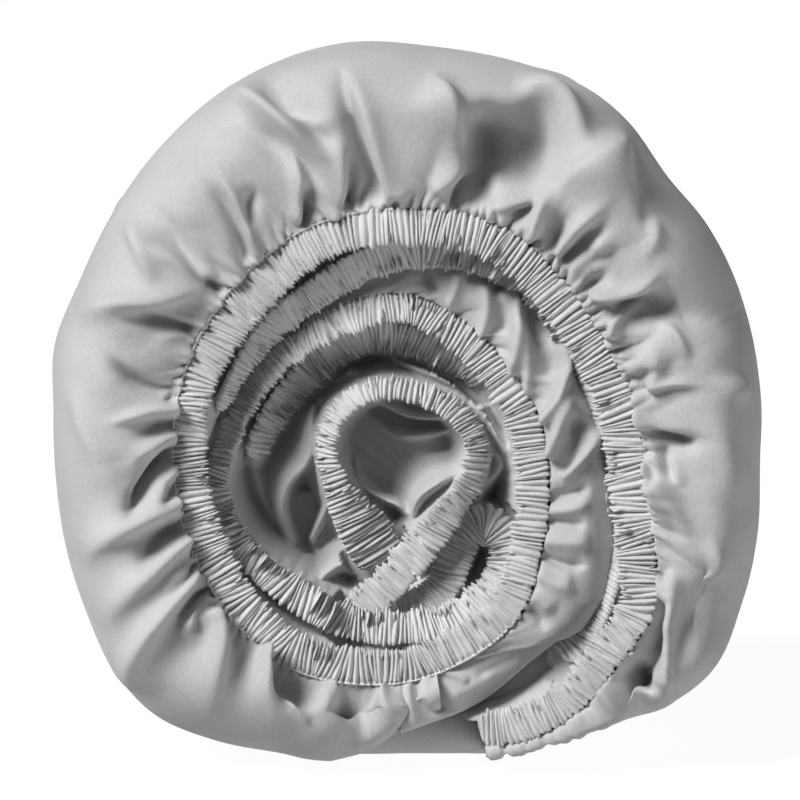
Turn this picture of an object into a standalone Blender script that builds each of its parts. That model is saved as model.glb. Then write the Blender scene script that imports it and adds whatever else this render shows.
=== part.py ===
"""A double-bed fitted sheet, rolled up and lying on its side with the mouth of the roll forward.

Frame: metres, +Z up, origin under the middle of the roll on the surface it lies on. The roll's axis
runs along Y, and the end with the gathered elastic edge faces -Y. Every table is in millimetres and
degrees: x to the right, y into the roll, z up, as seen from the front.

The roll is one solid: a round, slightly slumped body whose front is a relief of the turns, the puffed
cloth and the hollows between them. The elastic casing lies on it in four runs, each a flat ribbon.
"""
import bmesh
import bpy
import numpy as np

MM = 0.001

# ---- driving dimensions, in mm ------------------------------------------------------------------
ROLL_WIDTH = 220.0                  # across the roll, left to right
ROLL_DEPTH = 228.6                  # along the roll's axis
MID_HEIGHT = 111.4                  # the roll's axis above the surface
FRONT = -0.5 * ROLL_DEPTH           # the foremost cloth, on the puff's crest
BACK = 0.5 * ROLL_DEPTH             # the hindmost cloth
CASING_THICK = 2.6                  # gathered casing with its elastic
SEAT_GAP = 0.70                     # from the casing's back to the cloth it lies on

# The roll's outline seen from the front: angle from the right, anticlockwise; radius over the
# half width. It is slumped: wider low down, with two round lower corners.
OUTLINE = (
    # angle, radius
    (0, 0.998), (15, 0.989), (30, 0.982), (41, 0.970), (52, 1.006), (61, 1.018), (72, 1.006),
    (86, 1.003), (101, 1.027), (119, 1.021), (133, 1.002), (148, 0.987), (160, 0.987),
    (171, 1.009), (181, 1.000), (192, 1.016), (202, 1.047), (212, 1.082), (222, 1.126),
    (231, 1.140), (240, 1.105), (249, 1.062), (255, 1.050), (262, 1.032), (270, 1.020),
    (278, 1.030), (285, 1.053), (292, 1.056), (301, 1.072), (311, 1.126), (320, 1.145),
    (329, 1.105), (340, 1.055), (350, 1.012),
)

# The flank and the far end: radius over the outline's, depth from the middle of the roll.
FLANK = (
    # radius, y
    (1.000, -62.0), (1.006, -38.0), (1.003, -8.0), (0.999, 24.0), (0.988, 56.0), (0.955, 82.0),
    (0.880, 100.0), (0.760, 110.0), (0.560, 113.0), (0.300, BACK),
)

# ---- the elastic casing -------------------------------------------------------------------------
# Each row is a place on the middle of the ribbon, in its order along the ribbon. Tilt turns the
# ribbon about its own line: 0 faces the front, positive sends its inner edge deeper.
CASING_TURNS = (
    # x, y, z, tilt, width
    (22, -101, 13, -10, 12), (35, -104, 16, 0, 12), (49, -106, 24, 0, 12), (60, -107, 38, 5, 12),
    (69, -108, 51, 5, 12), (70, -108, 66, 0, 12), (68, -108, 84, 0, 12), (64, -108, 111, 0, 12),
    (56, -108, 128, 0, 12), (44, -109, 146, 0, 12), (31, -110, 159, 0, 12), (15, -110, 166, -10, 12),
    (-7, -110, 167, -10, 12), (-27, -109, 162, -10, 12), (-43, -108, 150, 0, 14),
    (-56, -108, 134, 0, 13), (-64, -107, 117, 10, 11), (-66, -106, 98, 10, 11),
    (-62, -106, 75, 0, 12), (-51, -105, 54, 0, 12), (-37, -105, 40, 0, 12), (-20, -105, 34, 0, 12),
    (1, -105, 34, -5, 11), (20, -104, 43, 0, 12), (31, -103, 54, 0, 12), (36, -101, 70, 0, 11),
    (38, -100, 85, 0, 11), (35, -98, 108, 0, 11), (24, -96, 125, -15, 11), (12, -94, 136, -35, 11),
    (-2, -93, 142, -45, 11), (-20, -92, 138, -45, 10), (-38, -91, 128, -45, 10),
    (-48, -90, 116, -45, 9), (-54, -92, 103, -35, 8), (-58, -95, 89, 10, 8),
    (-55, -97, 75, 35, 11), (-46, -98, 64, 35, 11), (-28, -98, 51, 30, 12), (-12, -97, 45, 30, 12),
    (5, -96, 45, 30, 12), (16, -93, 48, 30, 12), (25, -88, 54, 20, 12), (30, -86, 62, 10, 12),
    (29, -85, 71, 0, 12), (23, -85, 75, 0, 13), (17, -86, 71, 0, 13), (14, -87, 64, 0, 12),
    (12, -87, 57, 0, 12), (6, -86, 51, 0, 12), (-2, -84, 47, 0, 12),
)
CASING_UNDER_OUTER = (
    # x, y, z, tilt, width
    (48, -98, 34, 20, 11), (54, -99, 41, 20, 12), (59, -100, 50, 25, 12), (62, -100, 66, 30, 12),
    (61, -100, 84, 35, 12), (58, -100, 102, 40, 12), (54, -100, 116, 40, 12),
    (48, -101, 131, 40, 12), (41, -101, 143, 35, 13), (34, -101, 150, 35, 13),
    (25, -102, 156, 35, 13), (14, -102, 159, 35, 13), (0, -102, 159, 35, 13),
    (-11, -101, 156, 35, 13), (-22, -100, 150, 35, 13), (-31, -100, 144, 35, 12),
    (-39, -99, 138, 40, 12), (-46, -99, 130, 45, 11), (-52, -100, 121, 55, 9),
    (-57, -100, 111, 60, 8),
)
CASING_UNDER_SECOND = (
    # x, y, z, tilt, width
    (23, -84, 119, 40, 12), (16, -85, 125, 40, 13), (5, -86, 130, 40, 13), (-8, -86, 133, 40, 13),
    (-18, -85, 130, 40, 13), (-26, -84, 125, 40, 13), (-33, -83, 118, 40, 13),
    (-39, -83, 111, 40, 12), (-44, -83, 103, 45, 11), (-47, -83, 95, 50, 10),
)
CASING_LOOP = (
    # x, y, z, tilt, width
    (-17, -86, 47, 0, 12), (-8, -90, 55, 5, 12), (-1, -93, 63, 5, 12), (5, -95, 70, 0, 12),
    (12, -96, 79, -20, 11), (19, -96, 89, -35, 10), (21, -95, 100, -40, 10),
    (15, -94, 110, -45, 10), (3, -93, 116, -50, 10), (-10, -93, 117, -50, 10),
    (-21, -93, 110, -50, 10), (-25, -92, 99, -50, 10), (-22, -91, 88, -35, 11),
    (-17, -88, 79, -10, 14), (-12, -84, 71, 0, 17), (-7, -80, 63, 0, 18),
)
CASING_RUNS = (
    ("casing_turns", CASING_TURNS),
    ("casing_under_outer", CASING_UNDER_OUTER),
    ("casing_under_second", CASING_UNDER_SECOND),
    ("casing_loop", CASING_LOOP),
)
MOUTH_ROWS = 23                     # the casing's rows from its loose end round the roll's mouth

# ---- the relief inside the mouth ----------------------------------------------------------------
FLOOR_DEPTH = -84.0                 # the cloth between the turns, where nothing else is said
HOLLOWS = (
    # x, z, half width, half height, depth of the bottom
    (-40, 84, 13, 27, -58), (-2, 99, 15, 13, -56), (52, 128, 6, 12, -72), (59, 84, 6, 34, -76),
    (20, 59, 9, 5, -74), (34, 32, 13, 5, -86),
)
# The second turn's own puffed cloth, between the second and the outer casing.
INNER_PUFF = (
    # x, y, z, half width
    (22, -96, 27, 5), (34, -96, 36, 6), (45, -95, 50, 7), (49, -95, 70, 8), (50, -95, 92, 8),
    (45, -93, 112, 7), (35, -90, 129, 5), (22, -89, 140, 4),
)
HOLLOW_SPREAD = 0.6                 # how soon a hollow's bottom rises towards its edge
RIDGE_SLOPE = 2.3                   # how steeply cloth falls away beside a casing
RIDGE_SHARE = 0.4                   # the level part of a ridge, over the casing's width
SOFT_PASSES = 3                     # rounds of averaging that take the hard steps off the relief
EASE_PASSES = 2                     # rounds that ease the steps left in front of a deep ribbon

# ---- the puff round the mouth and its main folds ------------------------------------------------
CREST_AT = 0.80                     # the puff's foremost ring, over the outline
CREST_DROP = 0.55                   # slope from the crest down to the casing
FOLD_FULLNESS = 0.7                 # below 1 keeps a fold at full depth for most of its length
FOLDS = (
    # angle, start radius, end radius, half width, depth (+ trough, - crest), lean in degrees
    (53, 78, 112, 11, 9.0, 6), (64, 74, 108, 8, -4.5, -4), (38, 76, 112, 8, -3.5, 8),
    (24, 74, 100, 9, 6.5, -9), (12, 78, 104, 8, -3.0, 0), (-4, 74, 108, 7, 4.0, 5),
    (-24, 76, 112, 9, 4.0, 6), (-41, 78, 112, 9, 5.0, -5), (84, 72, 106, 8, 3.5, 5),
    (98, 72, 112, 8, -4.0, -7), (112, 72, 104, 8, 3.5, 6), (134, 74, 108, 9, 3.0, -6),
    (163, 76, 110, 9, 5.0, 9), (184, 74, 104, 9, -3.5, 4), (204, 74, 114, 8, 4.5, -8),
    (222, 78, 116, 9, -3.5, 5), (238, 74, 112, 7, 4.5, 6), (258, 76, 108, 8, -3.0, -6),
)

# ---- fineness -----------------------------------------------------------------------------------
COLUMNS = 100
FRONT_RINGS = 25
CASING_STEPS = 2                    # ribbon sections for each row of its table
SEARCH_STEPS = 8                    # finer sections used to seat the cloth behind a ribbon
CELL = 5.2                          # half a cell of the relief, kept clear round a ribbon

# The casing's section: place across the half width, and through the half thickness.
CASING_SECTION = (
    # across, through
    (-1.0, 0.0), (-0.72, -0.85), (0.72, -0.85), (1.0, 0.0), (0.72, 0.85), (0.0, 1.0), (-0.72, 0.85),
)

SHEET_COLOUR = (0.56, 0.56, 0.57, 1.0)
CASING_COLOUR = (0.60, 0.60, 0.61, 1.0)


def clear_scene():
    for thing in list(bpy.data.objects):
        bpy.data.objects.remove(thing, do_unlink=True)


def cloth_material(name, colour):
    """A dull woven finish of one colour."""
    finish = bpy.data.materials.new(name)
    finish.use_nodes = True
    shader = finish.node_tree.nodes["Principled BSDF"]
    shader.inputs["Base Color"].default_value = colour
    shader.inputs["Roughness"].default_value = 0.9
    shader.inputs["Metallic"].default_value = 0.0
    return finish


def add_solid(name, points, faces, finish):
    """Make a named object of points in millimetres, with its faces pointing out."""
    mesh = bpy.data.meshes.new(name)
    mesh.from_pydata((np.asarray(points) * MM).tolist(), [], faces)
    work = bmesh.new()
    work.from_mesh(mesh)
    bmesh.ops.recalc_face_normals(work, faces=work.faces)
    work.to_mesh(mesh)
    work.free()
    mesh.materials.append(finish)
    mesh.shade_smooth()
    solid = bpy.data.objects.new(name, mesh)
    bpy.context.scene.collection.objects.link(solid)
    return solid


def smooth_route(rows, steps):
    """A Catmull-Rom curve through the rows, every column alike, with this many steps a row."""
    known = np.array(rows, dtype=float)
    first = 2.0 * known[0] - known[1]
    last = 2.0 * known[-1] - known[-2]
    known = np.vstack((first, known, last))
    a, b, c, d = (known[i:len(known) - 3 + i, None, :] for i in range(4))
    t = (np.arange(steps) / steps)[None, :, None]
    curve = 0.5 * (2 * b + (c - a) * t + (2 * a - 5 * b + 4 * c - d) * t ** 2
                   + (3 * b - a - 3 * c + d) * t ** 3)
    return np.vstack((curve.reshape(-1, known.shape[1]), known[-2]))


def ribbon_frame(route):
    """Along, across and facing directions of a flat ribbon at each place on its route."""
    along = np.gradient(route[:, :3], axis=0)
    along /= np.linalg.norm(along, axis=1, keepdims=True)
    side = np.stack((-along[:, 2], np.zeros(len(along)), along[:, 0]), axis=1)
    side /= np.linalg.norm(side, axis=1, keepdims=True)
    tilt = np.radians(route[:, 3:4])
    across = np.cos(tilt) * side + np.sin(tilt) * np.array((0.0, 1.0, 0.0))
    across -= np.sum(across * along, axis=1, keepdims=True) * along
    across /= np.linalg.norm(across, axis=1, keepdims=True)
    return along, across, np.cross(along, across)


def grid_faces(rows, columns):
    """Quads between neighbouring rings of a tube, one ring after another."""
    faces = []
    for row in range(rows - 1):
        for column in range(columns):
            after = (column + 1) % columns
            low, high = row * columns, (row + 1) * columns
            faces.append((low + column, low + after, high + after, high + column))
    return faces


def build_casing(name, rows, finish):
    """One run of the casing: its section carried along its route, closed at both ends."""
    route = smooth_route(rows, CASING_STEPS)
    _, across, facing = ribbon_frame(route)
    section = np.array(CASING_SECTION)
    half_width = 0.5 * route[:, 4]
    points = (route[:, None, :3]
              + across[:, None, :] * (half_width[:, None, None] * section[None, :, :1])
              + facing[:, None, :] * (0.5 * CASING_THICK * section[None, :, 1:]))
    count = len(section)
    faces = grid_faces(len(route), count)
    faces.append(tuple(range(count)))
    faces.append(tuple(range((len(route) - 1) * count, len(route) * count)))
    return add_solid(name, points.reshape(-1, 3), faces, finish)


def outline_radius(angle):
    """The outline's radius in mm at angles in degrees, read round the closed table."""
    table = np.array(OUTLINE + tuple((a + 360, r) for a, r in OUTLINE[:1]))
    return 0.5 * ROLL_WIDTH * np.interp(np.mod(angle, 360.0), table[:, 0], table[:, 1])


def inside_mouth(x, z):
    """True for places inside the casing's outer turn, by counting its crossings to the right."""
    edge = smooth_route(CASING_TURNS[:MOUTH_ROWS], SEARCH_STEPS)
    x1, z1 = edge[:, 0], edge[:, 2]
    x2, z2 = np.roll(x1, -1), np.roll(z1, -1)
    spans = (z1 > z[..., None]) != (z2 > z[..., None])
    rise = np.where(z2 == z1, 1.0, z2 - z1)
    crossing = x1 + (z[..., None] - z1) * (x2 - x1) / rise
    return np.sum(spans & (crossing > x[..., None]), axis=-1) % 2 == 1


def puff_depth(share, x, z):
    """The puffed cloth round the mouth: a rounded crest, then its main folds."""
    out = np.clip((share - CREST_AT) / (1.0 - CREST_AT), 0.0, 1.0)
    fall = -FRONT + FLANK[0][1]
    depth = FRONT + fall * (1.0 - np.sqrt(1.0 - out ** 2))
    depth += CREST_DROP * np.clip(CREST_AT - share, 0.0, 1.0) * 0.5 * ROLL_WIDTH
    radius = np.hypot(x, z - MID_HEIGHT)
    angle = np.degrees(np.arctan2(z - MID_HEIGHT, x))
    for clock, start, end, half_width, height, lean in FOLDS:
        along = (radius - start) / (end - start)
        turn = np.mod(angle - clock - lean * along + 180.0, 360.0) - 180.0
        aside = np.radians(turn) * radius / half_width
        swell = np.sin(np.pi * np.clip(along, 0.0, 1.0)) ** FOLD_FULLNESS
        depth += height * swell * np.exp(-aside ** 2)
    return depth


def floor_depth(x, z):
    """The cloth between the turns: a common floor with its hollows."""
    depth = np.full_like(x, FLOOR_DEPTH)
    for middle_x, middle_z, half_width, half_height, bottom in HOLLOWS:
        reach = ((x - middle_x) / half_width) ** 2 + ((z - middle_z) / half_height) ** 2
        depth += (bottom - FLOOR_DEPTH) * np.exp(-HOLLOW_SPREAD * reach ** 2)
    return depth


def raise_ridges(depth, x, z):
    """Bring the cloth forward to the back of every casing run, and along the inner puff.

    Beside each run the cloth falls away from it like the side of a bank.
    """
    runs = [smooth_route(rows, SEARCH_STEPS) for _, rows in CASING_RUNS]
    backs = [run[:, 1] + 0.5 * CASING_THICK + SEAT_GAP for run in runs]
    halves = [RIDGE_SHARE * run[:, 4] * np.cos(np.radians(run[:, 3])) for run in runs]
    puff = smooth_route(INNER_PUFF, SEARCH_STEPS)
    for run, back, half in zip(runs + [puff], backs + [puff[:, 1]], halves + [puff[:, 3]]):
        away = np.hypot(x[..., None] - run[:, 0], z[..., None] - run[:, 2])
        ridge = back + RIDGE_SLOPE * np.clip(away - half, 0.0, None)
        depth = np.minimum(depth, ridge.min(axis=-1))
    return depth


def clear_casing(depth, x, z):
    """Push the cloth back behind every ribbon that covers a place, or nearly does."""
    for _, rows in CASING_RUNS:
        run = smooth_route(rows, SEARCH_STEPS)
        along, across, facing = ribbon_frame(run)
        dx = x[..., None] - run[:, 0]
        dz = z[..., None] - run[:, 2]
        flat = np.hypot(across[:, 0], across[:, 2])
        aside = (dx * across[:, 0] + dz * across[:, 2]) / flat
        ahead = (dx * along[:, 0] + dz * along[:, 2])
        half = 0.5 * run[:, 4] * flat
        near = (np.abs(aside) < half + CELL) & (np.abs(ahead) < CELL)
        tilt_rise = across[:, 1] / flat
        back = (run[:, 1] + np.clip(aside, -half, half) * tilt_rise
                + 0.5 * CASING_THICK / -facing[:, 1] + SEAT_GAP)
        depth = np.maximum(depth, np.where(near, back, 2.0 * FRONT).max(axis=-1))
    return depth


def soften(depth, passes):
    """Average each place of the relief with its neighbours, but keep the innermost and rim rings."""
    for _ in range(passes):
        beside = 0.5 * (np.roll(depth, 1, axis=1) + np.roll(depth, -1, axis=1))
        across = 0.5 * (depth[:-2] + depth[2:])
        depth[1:-1] = 0.5 * depth[1:-1] + 0.25 * beside[1:-1] + 0.25 * across
    return depth


def build_roll(finish):
    """The rolled cloth: rings from the middle of the mouth out to the flank and round the far end."""
    angle = np.arange(COLUMNS) * 360.0 / COLUMNS
    rim = outline_radius(angle)
    way = np.stack((np.cos(np.radians(angle)), np.sin(np.radians(angle))), axis=1)
    ring = np.arange(1, FRONT_RINGS + 1) / (FRONT_RINGS + 0.35)
    share = np.repeat(ring[:, None], COLUMNS, axis=1)
    x = share * rim * way[:, 0]
    z = MID_HEIGHT + share * rim * way[:, 1]

    depth = np.where(inside_mouth(x, z), floor_depth(x, z), puff_depth(share, x, z))
    depth = soften(raise_ridges(soften(depth, SOFT_PASSES), x, z), 1)
    depth = clear_casing(depth, x, z)
    for _ in range(EASE_PASSES):
        depth = np.maximum(depth, soften(depth.copy(), 1))
    front = np.stack((x, depth, z), axis=2)
    front_middle = np.array((0.0, depth[0].mean(), MID_HEIGHT))
    flank = np.array(FLANK)
    rest = np.stack((flank[:, 0:1] * rim * way[:, 0],
                     flank[:, 1:2] + np.zeros(COLUMNS),
                     MID_HEIGHT + flank[:, 0:1] * rim * way[:, 1]), axis=2)
    rings = np.concatenate((front, rest), axis=0)
    rings[..., 2] = np.maximum(rings[..., 2], 0.0)
    back_middle = np.array((0.0, BACK, MID_HEIGHT))
    count = rings.shape[0] * COLUMNS
    points = np.vstack((rings.reshape(-1, 3), front_middle, back_middle))
    faces = grid_faces(rings.shape[0], COLUMNS)
    last = count - COLUMNS
    for column in range(COLUMNS):
        after = (column + 1) % COLUMNS
        faces.append((count, after, column))
        faces.append((count + 1, last + column, last + after))
    return add_solid("sheet_roll", points, faces, finish)


def main():
    clear_scene()
    sheet_finish = cloth_material("sheet_cloth", SHEET_COLOUR)
    casing_finish = cloth_material("casing_cloth", CASING_COLOUR)
    build_roll(sheet_finish)
    for name, rows in CASING_RUNS:
        build_casing(name, rows, casing_finish)


main()
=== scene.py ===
# %% [markdown]
# # A fitted sheet, rolled up
# A fitted sheet is one panel of cotton whose edge is folded over an elastic and gathered. Rolled
# up and seen from the end, that gathered casing winds in a spiral and the cloth puffs out round it.
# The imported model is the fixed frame: every piece below is cloth that stands for one of its solids.

# %% load the frame
import math

import bmesh
import bpy
import numpy as np
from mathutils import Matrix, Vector


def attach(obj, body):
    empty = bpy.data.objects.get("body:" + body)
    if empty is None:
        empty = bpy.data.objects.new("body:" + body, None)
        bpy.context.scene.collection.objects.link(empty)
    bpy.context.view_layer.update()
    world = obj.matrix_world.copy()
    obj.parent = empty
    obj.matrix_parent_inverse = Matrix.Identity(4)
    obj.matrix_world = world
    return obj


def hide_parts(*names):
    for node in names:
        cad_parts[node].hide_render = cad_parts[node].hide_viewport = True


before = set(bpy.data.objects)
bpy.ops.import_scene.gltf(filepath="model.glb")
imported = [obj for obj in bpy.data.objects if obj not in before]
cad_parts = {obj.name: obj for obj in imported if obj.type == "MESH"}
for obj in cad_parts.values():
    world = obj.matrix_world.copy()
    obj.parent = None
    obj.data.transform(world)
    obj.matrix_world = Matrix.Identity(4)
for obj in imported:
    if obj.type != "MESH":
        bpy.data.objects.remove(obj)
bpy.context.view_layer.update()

MM = 0.001  # in metres
print("frame nodes:", sorted(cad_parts))

# %% [markdown]
# ## How a shape is made here
# Cloth could be pushed about by hand or simulated. The folds of this roll are seen from its front,
# so each piece starts as a surface worked out on a grid: a profile carried along a path, with the
# height of its folds added along the surface's own normal. Lengths are in millimetres until the
# mesh is made.


# %% curves and grids
ROUTE_STEPS = 40  # points on a route for each row of its table


def curve_through(rows, steps):
    """A smooth curve through the rows: each stretch is the cubic whose slope at a row is half the
    step from the row before it to the row after it."""
    known = np.array(rows, dtype=float)
    known = np.vstack((2 * known[0] - known[1], known, 2 * known[-1] - known[-2]))
    a, b, c, d = (known[i:len(known) - 3 + i, None, :] for i in range(4))
    t = (np.arange(steps) / steps)[None, :, None]
    curve = 0.5 * (2 * b + (c - a) * t + (2 * a - 5 * b + 4 * c - d) * t ** 2
                   + (3 * b - a - 3 * c + d) * t ** 3)
    return np.vstack((curve.reshape(-1, known.shape[1]), known[-2]))


def travelled(points):
    """Length along a path, or down each column of a grid: the running sum of the steps."""
    steps = np.linalg.norm(np.diff(points[..., :3], axis=0), axis=-1)
    return np.concatenate((np.zeros((1, *steps.shape[1:])), np.cumsum(steps, axis=0)))


def even_route(rows, spacing):
    """The smooth curve through the rows, read off at even lengths."""
    fine = curve_through(rows, ROUTE_STEPS)
    length = travelled(fine)
    marks = np.linspace(0.0, length[-1], int(length[-1] / spacing) + 1)
    route = np.stack([np.interp(marks, length, column) for column in fine.T], axis=1)
    return marks, route


def unit(vectors):
    """Each vector over its own length."""
    return vectors / np.maximum(np.linalg.norm(vectors, axis=-1, keepdims=True), 1e-9)


def ribbon_frame(route):
    """Along, across and facing directions of a flat ribbon. Across is at right angles to the route
    in the plane of the front, turned by the tilt towards the back."""
    along = unit(np.gradient(route[:, :3], axis=0))
    side = unit(np.stack((-along[:, 2], np.zeros(len(along)), along[:, 0]), axis=1))
    tilt = np.radians(route[:, 3:4])
    across = np.cos(tilt) * side + np.sin(tilt) * np.array((0.0, 1.0, 0.0))
    across = unit(across - np.sum(across * along, axis=1, keepdims=True) * along)
    return along, across, np.cross(along, across)


def surface_normals(points):
    """Normals of a grid: its two directions' cross product."""
    down, right = np.gradient(points, axis=0), np.gradient(points, axis=1)
    return unit(np.cross(right, down))


def front_normals(points):
    """The same, turned to point to the front on average."""
    normals = surface_normals(points)
    return -np.sign(normals[..., 1].mean()) * normals


def growing_shares(rows, growth, last):
    """Shares (g^j - 1) / (g^last - 1) for rows that each are g times as long as the one before."""
    j = np.arange(rows)[:, None]
    return (growth ** j - 1.0) / (growth ** last - 1.0)


def smooth_step(low, high, value):
    """0 below low, 1 above high, and 3t^2 - 2t^3 between them."""
    t = np.clip((value - low) / (high - low), 0.0, 1.0)
    return t * t * (3.0 - 2.0 * t)


def slow_wave(place, wavelength, rng):
    """A wandering line: three sines of random phase, near the wavelength, that sum to about 1."""
    turns = rng.uniform(0.7, 1.4, 3) / wavelength
    phase = rng.uniform(0.0, 2 * np.pi, 3)
    return np.sin(2 * np.pi * turns * place[..., None] + phase).sum(axis=-1) / 2.0


def place_object(name, data):
    """A new object in the scene, at the origin and unturned."""
    thing = bpy.data.objects.new(name, data)
    bpy.context.scene.collection.objects.link(thing)
    return thing


def add_piece(name, mesh, finish):
    """Give a mesh its finish and let it ride on the part's one body."""
    mesh.shade_smooth()
    mesh.materials.append(finish)
    piece = place_object(name, mesh)
    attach(piece, "root")
    return piece


def add_cloth(name, points, finish, uv, around=False, flip=False):
    """Make a grid of points (rows, columns, 3), in millimetres, into a piece. With around, the last
    column joins the first and both ends are capped. The UV map holds the cloth's own metres."""
    rows, columns = points.shape[:2]
    row = np.arange(rows - 1)[:, None]
    column = np.arange(columns if around else columns - 1)[None, :]
    after = (column + 1) % columns
    low, high = row * columns, (row + 1) * columns
    order = (low + column, low + after, high + after, high + column)
    uv_order = ((row, column), (row, column + 1), (row + 1, column + 1), (row + 1, column))
    corners = np.stack(np.broadcast_arrays(*order), axis=-1).reshape(-1, 4)
    texture = np.stack([uv[np.broadcast_arrays(*at)[0], np.broadcast_arrays(*at)[1]]
                        for at in uv_order], axis=2).reshape(-1, 4, 2)
    if flip:
        corners, texture = corners[:, ::-1], texture[:, ::-1]
    starts = np.arange(0, corners.size, 4)
    loops, maps = corners.ravel(), texture.reshape(-1, 2)
    if around:
        first, last = np.arange(columns), (rows - 1) * columns + np.arange(columns)
        caps = (first[::-1], last) if not flip else (first, last[::-1])
        for cap, end in zip(caps, (0, rows - 1)):
            starts = np.append(starts, len(loops))
            loops = np.concatenate((loops, cap))
            maps = np.vstack((maps, uv[end, cap % columns]))
    mesh = bpy.data.meshes.new(name)
    mesh.vertices.add(rows * columns)
    mesh.vertices.foreach_set("co", (points * MM).astype(np.float32).ravel())
    mesh.loops.add(len(loops))
    mesh.loops.foreach_set("vertex_index", loops.astype(np.int32))
    mesh.polygons.add(len(starts))
    mesh.polygons.foreach_set("loop_start", starts.astype(np.int32))
    mesh.update(calc_edges=True)
    layer = mesh.uv_layers.new(name="cloth_metres")
    layer.data.foreach_set("uv", (maps * MM).astype(np.float32).ravel())
    mesh.validate()
    piece = add_piece(name, mesh, finish)
    triangles = sum(len(p.vertices) - 2 for p in mesh.polygons)
    area = sum(p.area for p in mesh.polygons)
    print(f"{name}: {triangles} triangles, {area:.4f} m2")
    return piece


# %% [markdown]
# ## The finish
# The cloth is a plain light grey cotton. Close up it shows its weave, thicker threads here and
# there, and a dull sheen at grazing angles. An image could give that, but nodes hold at any
# distance: two wave textures at right angles on the cloth's own metres make the threads, and a fine
# noise makes them uneven.


# %% shader nodes
def fill_sockets(tree, node, sockets):
    """Set each named socket to a value, or link another node's output to it."""
    for name, value in sockets.items():
        if isinstance(value, bpy.types.NodeSocket):
            tree.links.new(value, node.inputs[name])
        else:
            node.inputs[name].default_value = value


def add_node(tree, kind, sockets, output, **settings):
    """A new node with its settings and sockets. Its output is returned."""
    node = tree.nodes.new("ShaderNode" + kind)
    for name, value in settings.items():
        setattr(node, name, value)
    fill_sockets(tree, node, sockets)
    return node.outputs[output]


def add_ramp(tree, value, stops, output="Color"):
    """A ramp of (place, colour) stops over a value from 0 to 1."""
    colour = add_node(tree, "ValToRGB", {"Fac": value}, output)
    elements = colour.node.color_ramp.elements
    while len(elements) < len(stops):
        elements.new(0.5)
    for element, (place, level) in zip(elements, stops):
        element.position, element.color = place, (*level, 1.0)
    return colour


# %% woven cotton
THREAD_PITCH = 0.00030  # metres, from thread to thread
SLUB_SIZE = 0.0011  # metres, a thicker stretch of thread
SLUB_TALL = 4.5  # height of the slubs over that of the weave
WEAR_SCALE = 28.0  # of the broad blotches, to the metre
WEAR_SHADES = ((0.45, 0.86), (0.96, 1.10))  # place on the ramp, share of the colour


def woven_cotton(name, colour, roughness, sheen, weave_depth):
    """Weave height is the sum of two sine waves across the UV map; slubs are noise on the piece."""
    finish = bpy.data.materials.new(name)
    finish.use_nodes = True
    tree = finish.node_tree
    place = add_node(tree, "TexCoord", {}, "Object")
    cloth = add_node(tree, "UVMap", {}, "UV", uv_map="cloth_metres")
    warp, weft = (
        add_node(tree, "TexWave", {"Vector": cloth, "Scale": 2 * math.pi / 20 / THREAD_PITCH,
                                   "Distortion": 1.2, "Detail Scale": 1.5},
                 "Fac", wave_type="BANDS", bands_direction=way) for way in ("X", "Y"))
    weave = add_node(tree, "Math", {0: warp, 1: weft}, 0, operation="ADD")
    slub, wear = (
        add_node(tree, "TexNoise", {"Vector": place, "Scale": scale, "Detail": detail}, "Fac")
        for scale, detail in ((1.0 / SLUB_SIZE, 3.0), (WEAR_SCALE, 4.0)))
    height = add_node(tree, "Math", {0: slub, 1: SLUB_TALL, 2: weave}, 0,
                      operation="MULTIPLY_ADD")
    bump = add_node(tree, "Bump", {"Strength": 0.55, "Distance": weave_depth, "Height": height},
                    "Normal")
    mixed = add_node(tree, "Math", {0: slub, 1: 0.65, 2: wear}, 0, operation="MULTIPLY_ADD")
    shades = [(at, [share * c for c in colour]) for at, share in WEAR_SHADES]
    fill_sockets(tree, tree.nodes["Principled BSDF"], {
        "Base Color": add_ramp(tree, mixed, shades), "Normal": bump, "Roughness": roughness,
        "Sheen Weight": sheen, "Sheen Roughness": 0.5, "Specular IOR Level": 0.25})
    return finish


SHEET_GREY = (0.56, 0.56, 0.565)
# The casing is the same cloth as the sheet, but its grey is painted lighter than its own, to make up
# for the shade in its pleats.
CASING_GREY_PAINTED_LIGHTER = (0.70, 0.70, 0.705)
sheet_cotton = woven_cotton("light_grey_cotton", SHEET_GREY, 0.86, 0.25, 0.00005)
casing_cotton_painted_lighter = woven_cotton("gathered_grey_cotton_painted_lighter", CASING_GREY_PAINTED_LIGHTER, 0.86, 0.2, 0.00006)
thread_cotton = woven_cotton("sewing_thread", (0.64, 0.64, 0.645), 0.7, 0.1, 0.00003)
print("finishes:", [m.name for m in (sheet_cotton, casing_cotton_painted_lighter, thread_cotton)])

# %% [markdown]
# ## The gathered casing
# The casing is a tube of the same cloth sewn over the elastic. When the elastic pulls it in, it
# gathers into hundreds of small pleats across its width, which fork where a pleat starts or ends.
# A simulation fine enough for them would be slow, so they are worked out: each pleat is a rounded
# ridge, and the cloth's height at a place is the highest ridge there, with sharp grooves between.
# The route of each run keeps close to the CAD's own, so that the piece stays near its solid.

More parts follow.
